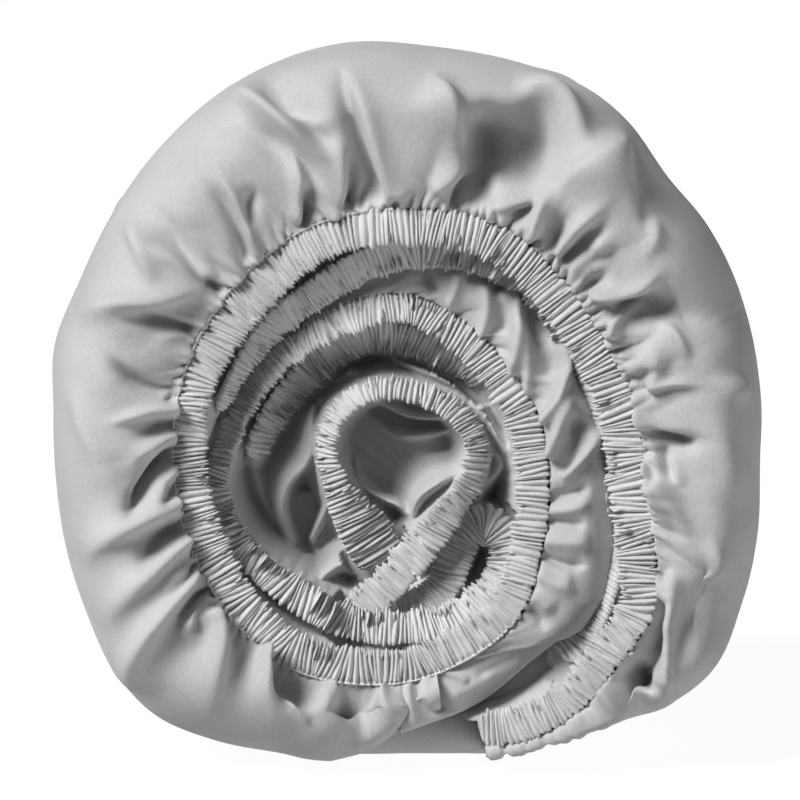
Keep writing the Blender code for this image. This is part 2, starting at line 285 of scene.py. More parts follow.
# %% the casing's routes
CASING_TURNS = (
    # x, y, z, tilt, width
    (22, -101, 13, -10, 12), (35, -104, 16, 0, 12), (49, -106, 24, 0, 12), (60, -107, 38, 5, 12),
    (69, -108, 51, 5, 12), (69.5, -108, 66, 0, 13), (67.2, -108, 84, 0, 13.4),
    (63.5, -108, 111, 0, 12.4), (56, -108, 128, 0, 12), (44, -109, 146, 0, 12),
    (31, -110, 159, 0, 12), (15, -110, 166, -10, 12), (-7, -110, 167, -10, 12),
    (-27, -109, 162, -10, 12), (-43, -108, 150, 0, 14), (-56, -108, 134, 0, 13),
    (-64, -107, 117, 0, 11), (-66, -106, 98, -5, 11), (-62, -106, 75, -8, 12),
    (-51, -105, 54, -5, 12), (-37, -105, 40, 0, 12), (-20, -105, 34, 0, 12), (1, -105, 34, -5, 11),
    (20, -104, 43, 0, 12), (31, -103, 54, 0, 12), (36, -101, 70, 0, 11), (38, -100, 85, 0, 11),
    (35, -98, 108, 0, 11), (24, -96, 125, -15, 11), (12, -97, 136, -28, 11),
    (-2, -98, 142, -30, 11), (-20, -97, 138, -28, 11), (-38, -95, 127.5, -28, 11),
    (-48, -93, 116, -32, 10), (-54, -92, 103, -35, 8), (-58, -95, 89, 10, 8),
    (-55, -97, 75, 35, 11), (-46, -98, 64, 35, 11), (-28, -98, 51, 30, 12), (-12, -97, 45, 30, 12),
    (5, -96, 45, 30, 12), (16, -93, 48, 30, 12), (25, -88, 54, 20, 12), (30, -86, 62, 10, 12),
    (29, -85, 71, 0, 12), (23, -85, 75, 0, 13), (17, -86, 71, 0, 13), (14, -87, 64, 0, 12),
    (12, -87, 57, 0, 12), (6, -86, 51, 0, 12), (-2, -84, 47, 0, 12),
)
CASING_UNDER_OUTER = (
    # x, y, z, tilt, width
    (47, -93, 35, 20, 11), (53, -93, 42, 30, 12), (59, -95, 51, 55, 11), (64, -97, 66, 75, 11),
    (64, -98, 84, 80, 11), (60, -98, 102, 75, 11), (56, -99, 116, 70, 11), (49, -100, 131, 60, 12),
    (42, -101, 143, 50, 12), (34, -101, 151, 45, 13), (25, -102, 156, 35, 13),
    (14, -102, 159, 35, 13), (0, -102, 159, 35, 13), (-11, -101, 156, 35, 13),
    (-22, -100, 150, 35, 13), (-31, -100, 144, 35, 12), (-39, -99, 138, 40, 12),
    (-46, -99, 130, 45, 11), (-52, -100, 121, 55, 9), (-57, -100, 111, 60, 8),
)
CASING_UNDER_SECOND = (
    # x, y, z, tilt, width
    (23, -84, 119, 40, 12), (16, -85, 125, 40, 13), (5, -86, 130, 40, 13), (-8, -86, 133, 40, 13),
    (-18, -85, 130, 40, 13), (-26, -84, 125, 40, 13), (-33, -83, 118, 40, 13),
    (-39, -83, 111, 40, 12), (-44, -83, 103, 45, 11), (-47, -83, 95, 50, 10),
)
CASING_LOOP = (
    # x, y, z, tilt, width
    (-17, -86, 47, 0, 12), (-8, -90, 55, 5, 12), (-1, -93, 63, 5, 12), (5, -95, 70, 0, 12),
    (12, -96, 79, -20, 11), (19, -96, 89, -35, 10), (21, -95, 100, -40, 10),
    (15, -94, 110, -45, 10), (3, -93, 116, -50, 10), (-10, -93, 117, -50, 10),
    (-21, -93, 110, -50, 10), (-25, -92, 99, -50, 10), (-22, -91, 88, -35, 11),
    (-17, -88, 79, -10, 14), (-12, -84, 71, 0, 17), (-7, -80, 63, 0, 18),
)
MOUTH_ROWS = 23  # the casing's rows from its loose end round the roll's mouth

# The casing's section: place across the half width (-1 at the stitched edge, 1 at the lip), place
# through the half thickness, and the share of the pleats' height there. Where the stitched edge is
# drawn tight, the last column stands for the second.
CASING_SECTION = (
    # across, through, pleats, through where the stitched edge is tight
    (-1.00, -0.30, 1.00, -0.25), (-0.985, 0.12, 1.00, 0.40), (-0.955, 0.40, 1.00, 0.82),
    (-0.92, 0.56, 1.00, 1.02), (-0.885, 0.66, 1.00, 0.98), (-0.85, 0.73, 1.00, 0.80),
    (-0.81, 0.79, 1.00, 0.68), (-0.77, 0.84, 1.00, 0.76), (-0.69, 0.90, 1.00, 0.90),
    (-0.55, 0.97, 1.00, 0.97), (-0.38, 1.04, 1.00, 1.04), (-0.20, 1.06, 1.00, 1.06),
    (-0.02, 1.06, 1.00, 1.06), (0.16, 1.05, 1.00, 1.05), (0.34, 1.02, 1.00, 1.02),
    (0.52, 0.97, 1.00, 0.97), (0.67, 0.88, 1.05, 0.88), (0.80, 0.74, 1.15, 0.74),
    (0.90, 0.54, 1.35, 0.54), (0.97, 0.27, 1.60, 0.27), (1.00, -0.05, 1.65, -0.05),
    (0.97, -0.38, 1.35, -0.38), (0.87, -0.68, 0.95, -0.68), (0.66, -0.90, 0.65, -0.90),
    (0.00, -1.00, 0.35, -1.00), (-0.85, -0.80, 0.40, -0.80),
)
STITCH_GROOVE = 6  # the section's point in the groove that the stitches lie in
STITCH_EVERY = 1.4  # from one needle hole to the next
HOLE_DEEP = 0.70  # of a needle hole
HOLE_SHARES = ((-1, 0.4), (0, 1.0), (1, 0.35))  # point beside the groove, share of the depth
HALF_THICK = 1.3  # of the casing with its elastic
HALF_WIDE = 6.0  # the casing's half width, for its UV map
FULLNESS = 2.0  # cloth gathered into each length of casing
print("casing rows:", len(CASING_TURNS), "section points:", len(CASING_SECTION))

# %% the pleats
ALONG_SPACING = 0.17  # between two sections of the casing
PLEAT_PITCH = 1.42  # from one full pleat to the next, on average
PLEAT_SHARP = 2.0  # 2 makes round pleats, more makes flat tops with narrow grooves
GROOVE = 1.70  # depth of a groove between two pleats
FORK_SHARE = 0.25  # how many grooves have a short pleat that forks them
FORK_DROP = 0.15  # a short pleat is this much lower
GAP_SPREAD, TOP_SPREAD, BOW_SPREAD = 0.32, 0.15, 0.12
GROOVE_SHARES = (0.50, 1.25)  # least and most of the usual depth
LEAN_WAVE, LEAN_SPREAD = 24.0, 0.20  # pleats lean together over this length, and each by itself


def pleat_heights(along, across, seed):
    """Height of the gathers, 0 at a usual pleat's top: the highest of top - groove * |2 x / gap|^p
    over the pleats nearby, where x is the distance from the pleat's own leaning line."""
    rng = np.random.default_rng(seed)
    count = int(along[-1] / PLEAT_PITCH) + 14
    gaps = PLEAT_PITCH * np.exp(rng.normal(0.0, GAP_SPREAD, count + 1))
    middles = np.cumsum(gaps[:-1]) - 6 * PLEAT_PITCH
    tops = rng.normal(0.0, TOP_SPREAD, count)
    swell, swell_at = rng.uniform(0.05, 0.30, count), rng.uniform(0.0, 2 * np.pi, count)
    grooves = GROOVE * rng.uniform(*GROOVE_SHARES, count + 1)
    lean = slow_wave(middles, LEAN_WAVE, rng) + rng.normal(0.0, LEAN_SPREAD, count)
    bow = rng.normal(0.0, BOW_SPREAD, count)
    near = np.searchsorted(middles, along)[:, None] + np.arange(-3, 4)
    near = np.clip(near, 0, count - 1)[:, None, :]
    a = across[None, :, None]
    way = lean[near] * a + bow[near] * (a ** 2 - 0.4)
    aside = along[:, None, None] - middles[near] - way
    gap = np.where(aside < 0.0, gaps[near], gaps[near + 1])
    groove = np.where(aside < 0.0, grooves[near], grooves[near + 1])
    top = tops[near] + swell[near] * np.sin(3.2 * a + swell_at[near])
    full = top - groove * np.abs(2 * aside / gap) ** PLEAT_SHARP
    side = rng.choice((-1.0, 1.0), count)[near]
    reach = rng.uniform(-0.5, 0.7, count)[near]
    there = (rng.random(count) < FORK_SHARE)[near]
    past = np.clip((side * a - reach) / 0.3, 0.0, 4.0)
    off = aside - 0.5 * gaps[near + 1]
    short = (top - FORK_DROP - past - np.where(there, 0.0, 9.0)
             - GROOVE * np.abs(2 * off / (0.6 * gaps[near + 1])) ** 2)
    return np.maximum(full.max(axis=-1), short.max(axis=-1))


LIP_WAVE, LIP_WAVE_LONG = 0.45, 9.0  # how far the lip wanders in and out, and how quickly
END_TAPER = 4.0  # length over which a run's end closes
FRILL_TALL = 1.4  # how much deeper the pleats are on an edge turned to the front
FRILL_TILTS = (12.0, 40.0)  # degrees between which they grow
EDGE_ON_TILTS = (50.0, 65.0)  # degrees between which the whole casing turns edge-on
EDGE_ON_CALM = 0.7  # share of the pleats' height lost there
TIGHT_ENDS = 25.0  # length over which the stitched edge becomes tight
TIGHT_CALM = 0.90  # share of the pleats' height lost on the tight edge
TIGHT_ACROSS = (-0.78, -0.90)  # places across between which it is lost


def casing_surface(rows, seed, smooth_edge=(0.0, 0.0), closed_start=True, closed_end=True):
    """The section carried along its route, each point raised along the section's own normal by the
    pleats' height there. An end closes as a quarter circle does. Between the two lengths of
    smooth_edge the stitched edge is drawn tight, without pleats."""
    along, route = even_route(rows, ALONG_SPACING)
    _, across, facing = ribbon_frame(route)
    section = np.array(CASING_SECTION)
    rng = np.random.default_rng(seed + 100)
    ease = np.ones(len(along))
    for there, reach in ((closed_start, along), (closed_end, along[-1] - along)):
        if there:
            t = np.clip(reach / END_TAPER, 0.0, 1.0)
            ease *= np.sqrt(1.0 - (1.0 - t) ** 2) * 0.97 + 0.03
    half_width = 0.5 * route[:, 4] * (0.35 + 0.65 * ease)
    lip = 1.0 + LIP_WAVE * slow_wave(along, LIP_WAVE_LONG, rng) / half_width
    place = section[None, :, 0]
    wide = half_width[:, None] * place
    wide = wide * np.where(place > 0.0, lip[:, None], 1.0)
    tight = (smooth_step(smooth_edge[0], smooth_edge[0] + TIGHT_ENDS, along)
             * smooth_step(smooth_edge[1], smooth_edge[1] - TIGHT_ENDS, along))[:, None]
    through = section[None, :, 1] * (1.0 - tight) + section[None, :, 3] * tight
    deep = HALF_THICK * ease[:, None] * through
    step_wide = np.roll(wide, -1, axis=1) - np.roll(wide, 1, axis=1)
    step_deep = np.roll(deep, -1, axis=1) - np.roll(deep, 1, axis=1)
    size = np.hypot(step_wide, step_deep) + 1e-9
    tilt = route[:, 3:4]
    outward, inward = (smooth_step(*FRILL_TILTS, way * tilt) * np.clip(way * place, 0, 1) ** 3
                       for way in (-1.0, 1.0))
    edge_on = smooth_step(*EDGE_ON_TILTS, np.abs(tilt))
    share = (section[None, :, 2] + FRILL_TALL * (outward + inward)) * (1.0 - EDGE_ON_CALM * edge_on)
    share = share * (1.0 - TIGHT_CALM * tight * smooth_step(*TIGHT_ACROSS, place))
    raised = pleat_heights(along, section[:, 0], seed) * share
    hole = np.cos(np.pi * along / STITCH_EVERY) ** 6 * tight[:, 0]
    for point, part in HOLE_SHARES:
        raised[:, STITCH_GROOVE + point] -= part * HOLE_DEEP * hole
    raised *= ease[:, None]
    wide = wide - raised * step_deep / size
    deep = deep + raised * step_wide / size
    points = (route[:, None, :3] + across[:, None, :] * wide[..., None]
              + facing[:, None, :] * deep[..., None])
    girth = travelled(np.vstack((section, section[:1]))[:, :2] * (HALF_WIDE, HALF_THICK))
    uv = np.stack(np.broadcast_arrays(FULLNESS * along[:, None], girth[None, :]), axis=-1)
    return along, route, points, uv


# %% build the casing's runs
def casing_piece(name, points, uv, nodes):
    """One run as a piece with the casing's finish, which stands for its CAD nodes."""
    piece = add_cloth(name, points, casing_cotton_painted_lighter, uv, around=True)
    if nodes:
        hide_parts(*nodes)
    return piece


TIGHT_EDGE = (215.0, 470.0)  # along the casing from its loose end
turns_along, turns_route, turns_points, turns_uv = casing_surface(CASING_TURNS, 11, TIGHT_EDGE)
row_length = travelled(curve_through(CASING_TURNS, ROUTE_STEPS))[::ROUTE_STEPS]
cut = int(np.searchsorted(turns_along, row_length[MOUTH_ROWS]))
casing_outer = casing_piece("casing_outer_turn", turns_points[:cut + 1], turns_uv[:cut + 1],
                            ["casing_turns"])
casing_inner = casing_piece("casing_second_turn", turns_points[cut:], turns_uv[cut:], [])
under_outer = casing_piece("casing_under_outer_turn",
                           *casing_surface(CASING_UNDER_OUTER, 23)[2:], ["casing_under_outer"])
under_second = casing_piece("casing_under_second_turn",
                            *casing_surface(CASING_UNDER_SECOND, 31)[2:], ["casing_under_second"])
casing_loop = casing_piece("casing_centre_loop",
                           *casing_surface(CASING_LOOP, 47)[2:], ["casing_loop"])
print("outer turn is", round(turns_along[cut]), "mm of", round(turns_along[-1]), "mm")

# %% [markdown]
# ## The stitching
# A line of stitches holds the casing shut beside its outer edge. Each stitch is a short thick
# thread, so it is a small pill of a few faces, and one array of pills makes one joined piece.

# %% stitches
STITCH_LONG, STITCH_THICK = 0.95, 0.40
STITCH_RISE = 0.22  # from the groove's floor to a stitch's middle
STITCH_RINGS, STITCH_SIDES = 4, 5


def stitch_line(name, along, route, points):
    """Pills along the stitched edge: rings of a sine profile turned round each stitch's line."""
    middle = np.arange(0.5 + round(TIGHT_EDGE[0] / STITCH_EVERY),
                       round(TIGHT_EDGE[1] / STITCH_EVERY)) * STITCH_EVERY
    at = np.searchsorted(along, middle)
    facing = ribbon_frame(route)[2]
    width = int(STITCH_LONG / ALONG_SPACING / 2)
    edge = points[:, STITCH_GROOVE]
    ends = edge[np.clip(at + width, 0, len(edge) - 1)], edge[np.clip(at - width, 0, len(edge) - 1)]
    centre = 0.5 * (ends[0] + ends[1]) + STITCH_RISE * facing[at]
    run = unit(ends[0] - ends[1])
    up = unit(facing[at] - np.sum(facing[at] * run, axis=1, keepdims=True) * run)
    side = np.cross(run, up)
    t = np.linspace(0.02, 0.98, STITCH_RINGS)
    turn = np.linspace(0.0, 2 * np.pi, STITCH_SIDES + 1)[:-1, None]
    radius = (0.5 * STITCH_THICK * np.sin(np.pi * t) ** 0.5)[:, None, None]
    ring = up[:, None, None] * np.cos(turn) + side[:, None, None] * np.sin(turn)
    spots = (centre[:, None, None] + ring * radius
             + run[:, None, None] * ((t - 0.5) * STITCH_LONG)[:, None, None])
    count = len(spots)
    r = np.arange(STITCH_RINGS - 1)[:, None] * STITCH_SIDES
    c = np.arange(STITCH_SIDES)[None, :]
    after = (c + 1) % STITCH_SIDES
    one = np.stack((r + c, r + STITCH_SIDES + c, r + STITCH_SIDES + after, r + after), axis=-1)
    firsts = np.arange(count)[:, None, None] * STITCH_RINGS * STITCH_SIDES
    faces = (firsts + one.reshape(-1, 4)).reshape(-1, 4)
    mesh = bpy.data.meshes.new(name)
    mesh.from_pydata((spots.reshape(-1, 3) * MM).tolist(), [], faces.tolist())
    mesh.uv_layers.new(name="cloth_metres")
    piece = add_piece(name, mesh, thread_cotton)
    print(f"{name}: {count} stitches, {2 * len(faces)} triangles")


stitch_line("stitching", turns_along, turns_route, turns_points)

# %% [markdown]
# ## Folds in the cloth
# The cloth beyond the stitches carries three kinds of fold: small gathers that fan out from the
# stitches, which are too many to place by hand and are drawn at random; the roll's own main folds,
# each placed one by one; and the broad puff itself.


# %% fold helpers
FOLD_STEPS = 12  # straight stretches that stand for one fold's curve
FOLD_CORE, FOLD_WIDTH = 0.8, 0.62  # c and the fall's width, over the half width
FOLD_SHARPER = 0.75  # how much narrower the sharper side can get


def nearest_on_line(x, z, line_x, line_z, reach):
    """The places within reach of a bent line's box. For each: its nearest stretch, the share along
    that stretch, the distance, and a value above 0 where it lies to the left of travel."""
    close = ((x > line_x.min() - reach) & (x < line_x.max() + reach)
             & (z > line_z.min() - reach) & (z < line_z.max() + reach))
    from_x, from_z = x[close][:, None] - line_x[:-1], z[close][:, None] - line_z[:-1]
    step_x, step_z = np.diff(line_x), np.diff(line_z)
    share = np.clip((from_x * step_x + from_z * step_z) / (step_x ** 2 + step_z ** 2), 0.0, 1.0)
    off_x, off_z = from_x - share * step_x, from_z - share * step_z
    away = np.hypot(off_x, off_z)
    best = away.argmin(axis=1)
    pick = np.arange(len(best)), best
    left = step_x[best] * off_z[pick] - step_z[best] * off_x[pick]
    return close, best, share[pick], away[pick], left


def fold_heights(x, z, folds, fade=(0.22, 0.22)):
    """Sum of listed folds. Each runs through three places; its height falls off to a side as
    exp(-(sqrt(d^2 + c^2) - c) / w), with c a part of the half width w, and to its ends smoothly. The
    last column makes its left side (+) or right side (-) the sharper one."""
    height = np.zeros_like(x)
    t = np.linspace(0.0, 1.0, FOLD_STEPS + 1)
    for x1, z1, x2, z2, x3, z3, half_start, half_end, rise, sharper in folds:
        bend_x, bend_z = 2 * x2 - 0.5 * (x1 + x3), 2 * z2 - 0.5 * (z1 + z3)
        line_x = (1 - t) ** 2 * x1 + 2 * t * (1 - t) * bend_x + t ** 2 * x3
        line_z = (1 - t) ** 2 * z1 + 2 * t * (1 - t) * bend_z + t ** 2 * z3
        close, best, share, away, left = nearest_on_line(
            x, z, line_x, line_z, 5.0 * max(half_start, half_end))
        run = (best + share) / FOLD_STEPS
        half = half_start + (half_end - half_start) * run
        half = half * (1.0 - FOLD_SHARPER * sharper * np.sign(left))
        core = FOLD_CORE * half
        fall = np.exp(-(np.sqrt(away ** 2 + core ** 2) - core) / (FOLD_WIDTH * half))
        ends = smooth_step(0.0, fade[0], run) * smooth_step(1.0, 1.0 - fade[1], run)
        height[close] += rise * fall * ends
    return height


def gather_heights(place, out, seed, pitch, tall, reach_low, reach_high):
    """Small gathers that fan out from the stitches: the highest of the ridges nearby, each
    h * (1 - |x / w|^2) and fading outwards over its own reach as its width w grows."""
    rng = np.random.default_rng(seed)
    count = int(place.max() / pitch) + 14
    middles = np.cumsum(pitch * rng.uniform(0.45, 1.6, count)) - 6 * pitch
    reach = np.exp(rng.uniform(np.log(reach_low), np.log(reach_high), count))
    size = tall * rng.uniform(0.55, 1.25, count)
    lean = 0.30 * slow_wave(middles, 40.0, rng) + rng.normal(0.0, 0.10, count)
    near = np.searchsorted(middles, place)[..., None] + np.arange(-4, 5)
    near = np.clip(near, 0, count - 1)
    away = out[..., None]
    aside = place[..., None] - middles[near] - lean[near] * away
    width = 0.52 * pitch + 0.10 * away
    height = (size[near] * np.exp(-(away / reach[near]) ** 2)
              * (1.0 - np.clip(np.abs(aside / width), 0.0, 1.3) ** 2))
    return np.clip(height.max(axis=-1), 0.0, None)


# %% [markdown]
# ## Letting the cloth settle
# The sheet is wider than the stitching that gathers it, so the spare cloth has to buckle. Heights
# alone look stamped, so the grid is settled as cloth: every edge is pulled to the length that it has
# in the flat sheet, again and again, while the whole is held lightly to the given shape. The spare
# length turns into folds that run into each other, as real gathers do.


# %% settling
PUSH_SHARE = 0.15  # how much of a push the cloth resists
SHEAR_STIFFNESS = 0.25
OUTWARD_STIFFNESS = 0.5  # against bending from row to row
SLIP_STIFFNESS = 0.06  # of the cloth's way sideways
SLIP_LOSS = 0.002
CLOSEST = 0.30  # columns stay this share of their gap apart, so none cross


def pull(first, second, rest, stiffness):
    """Move two sets of points along the line between them, by a share of what their distance
    differs from the rest length. It gives way more to a push than to a pull."""
    step = second - first
    size = np.sqrt(np.einsum("...i,...i->...", step, step)) + 1e-6
    over = (size - rest) / size
    over = np.where(over < 0.0, PUSH_SHARE * over, over) * (0.5 * stiffness)
    step *= over[..., None]
    first += step
    second -= step


def stiffen(lift, gap, share):
    """Resist bending along the columns: take away a share of the lift's fourth difference, read
    over gaps of that many columns, so that short waves die out and long ones stay."""
    middle = lift[:, 2 * gap:-2 * gap]
    fourth = (6 * middle - 4 * (lift[:, gap:-3 * gap] + lift[:, 3 * gap:-gap])
              + lift[:, :-4 * gap] + lift[:, 4 * gap:])
    middle -= share / 16.0 * fourth


def settle(points, base, goal, normal, rest_along, rest_out, rounds, hold, stiff):
    """Settle a grid (rows out, columns along) to its flat lengths. The rest lengths are one for
    each gap; hold pulls it to its goal, and stiff lists (gap, share for each row) of bending."""
    p, base, goal, normal, rest_along, rest_out = (
        a.astype(np.float32) for a in (points, base, goal, normal, rest_along, rest_out))
    run = np.diff(base, axis=1)
    gap_now = np.sqrt(np.einsum("...i,...i->...", run, run)) + 1e-6
    run /= gap_now[..., None]
    slant = np.sqrt(0.25 * (rest_along[1:] + rest_along[:-1]) ** 2 + rest_out[:, 1:] ** 2)
    first, last = p[0].copy(), p[-1].copy()
    sides = p[:, 0].copy(), p[:, -1].copy()
    for _ in range(rounds):
        for odd in (0, 1):
            n = (p.shape[1] - odd) // 2
            pull(p[:, odd:odd + 2 * n:2], p[:, odd + 1:odd + 2 * n:2],
                 rest_along[:, odd::2][:, :n], 1.0)
            n = (p.shape[0] - odd) // 2
            near, far = p[odd:odd + 2 * n:2], p[odd + 1:odd + 2 * n:2]
            pull(near, far, rest_out[odd::2][:n], 1.0)
            pull(near[:, :-1], far[:, 1:], slant[odd::2][:n], SHEAR_STIFFNESS)
            pull(near[:, 1:], far[:, :-1], slant[odd::2][:n], SHEAR_STIFFNESS)
        lift = np.einsum("...i,...i->...", p - base, normal)
        bent = lift.copy()
        for gap, share in stiff:
            stiffen(bent, gap, share)
        stiffen(bent.T, 1, OUTWARD_STIFFNESS)
        bent += hold * (np.einsum("...i,...i->...", goal - base, normal) - bent)
        slip = p - base - lift[..., None] * normal
        even = slip.copy()
        even[:, 1:-1] += SLIP_STIFFNESS * (0.5 * (slip[:, :-2] + slip[:, 2:]) - slip[:, 1:-1])
        even[1:-1] += SLIP_STIFFNESS * (0.5 * (slip[:-2] + slip[2:]) - slip[1:-1])
        p = base + bent[..., None] * normal + (1.0 - SLIP_LOSS) * even
        crossing = CLOSEST * gap_now - np.einsum("...i,...i->...", np.diff(p, axis=1), run)
        apart = 0.5 * np.clip(crossing, 0.0, None)[..., None] * run
        p[:, 1:] += apart
        p[:, :-1] -= apart
        p[0], p[-1] = first, last
        p[:, 0], p[:, -1] = sides
    return p.astype(float)


def finer(grid, rows, columns):
    """A grid read off between its points by straight lines, first one way and then the other."""
    old_r, old_c = grid.shape[:2]
    r, c = np.linspace(0, old_r - 1, rows), np.linspace(0, old_c - 1, columns)
    r0, c0 = np.minimum(r.astype(int), old_r - 2), np.minimum(c.astype(int), old_c - 2)
    fr, fc = (r - r0)[:, None, None], (c - c0)[None, :, None]
    rows_read = grid[r0] * (1 - fr) + grid[r0 + 1] * fr
    return rows_read[:, c0] * (1 - fc) + rows_read[:, c0 + 1] * fc


STRETCH = 1.01  # the flat cloth over the hand-placed grid


def settle_in_steps(base, goal, normal, out, steps, spare):
    """Settle a coarse grid first, for the broad folds, and then finer ones. A row's bending share
    grows with its way out from the stitches; a column's flat length is its longest gap."""
    settled = goal.copy()
    for row_step, column_step, rounds, hold, bend in steps:
        at = (slice(None, None, row_step), slice(None, None, column_step))
        along = np.linalg.norm(np.diff(base[at], axis=1), axis=-1)
        along = STRETCH * along + spare * (along.max(axis=0) - along)
        outward = STRETCH * np.linalg.norm(np.diff(base[at], axis=0), axis=-1)
        far = smooth_step(1.0, 16.0, out[at][:, :1])
        gap = max(1, 4 // column_step)
        wide = max(1, 8 // column_step)
        part = settle(settled[at], base[at], goal[at], normal[at], along, outward, rounds, hold,
                      ((1, 0.05 + 0.4 * far), (gap, bend * far),
                       (wide, 0.5 * bend * smooth_step(8.0, 28.0, out[at][:, :1]))))
        settled = settled + finer(part - settled[at], *goal.shape[:2])
        moved = np.linalg.norm(settled - goal, axis=-1).mean()
        print(f"settled 1 in {row_step} rows, {rounds} rounds: {moved:.2f} mm from the goal")
    return settled


# %% [markdown]
# ## The puffed cloth round the mouth
# From the stitches the cloth swells forward to a rounded crest and then turns over the rim on to the
# flank. Seen from the front it is a ring, so the grid runs along the stitches one way and from the
# stitches out over the rim the other way. The folds are listed part by part of that ring.

# %% outline, puff and folds
ROLL_WIDTH = 220.0
MID_HEIGHT = 111.4  # the roll's axis above the surface
OUTLINE = (
    # angle, radius over the half width
    (0, 0.998), (15, 0.989), (30, 0.982), (41, 0.970), (52, 1.006), (61, 1.018), (72, 1.006),
    (86, 1.003), (101, 1.027), (119, 1.021), (133, 1.002), (148, 0.987), (160, 0.987), (171, 1.009),
    (181, 1.000), (192, 1.016), (202, 1.047), (212, 1.082), (222, 1.126), (231, 1.140),
    (240, 1.105), (249, 1.062), (255, 1.050), (262, 1.032), (270, 1.020), (278, 1.030),
    (285, 1.053), (292, 1.056), (301, 1.072), (311, 1.126), (320, 1.145), (329, 1.105),
    (340, 1.055), (350, 1.012),
)
PUFF = (
    # angle, crest over the outline, the crest's y
    (-80, 0.935, -100), (-70, 0.945, -103), (-60, 0.945, -106.5), (-50, 0.925, -110),
    (-40, 0.90, -112), (-30, 0.87, -113), (-15, 0.83, -114), (0, 0.82, -114), (45, 0.81, -114),
    (90, 0.80, -114), (225, 0.80, -114), (250, 0.82, -114), (262, 0.82, -113), (270, 0.79, -111),
    (276, 0.77, -108), (284, 0.75, -105), (290, 0.74, -104),
)
PUFF_LIMIT = (
    # angle, where the puff turns back over the outline, y behind that turn
    (-80, 0.945, -72), (-70, 0.955, -68), (-60, 0.98, -64), (-50, 1.0, -62), (258, 1.0, -62),
    (264, 0.96, -66), (268, 0.90, -76), (270, 0.875, -78), (275, 0.845, -80), (280, 0.825, -80),
    (290, 0.79, -80),
)
GATHERING = (
    # angle, share of the small gathers' height
    (-80, 0.5), (-30, 0.9), (0, 1.1), (50, 1.0), (85, 0.7), (100, 0.7), (125, 1.1), (150, 1.2),
    (180, 0.9), (210, 0.8), (230, 0.6), (250, 0.4), (290, 0.3),
)
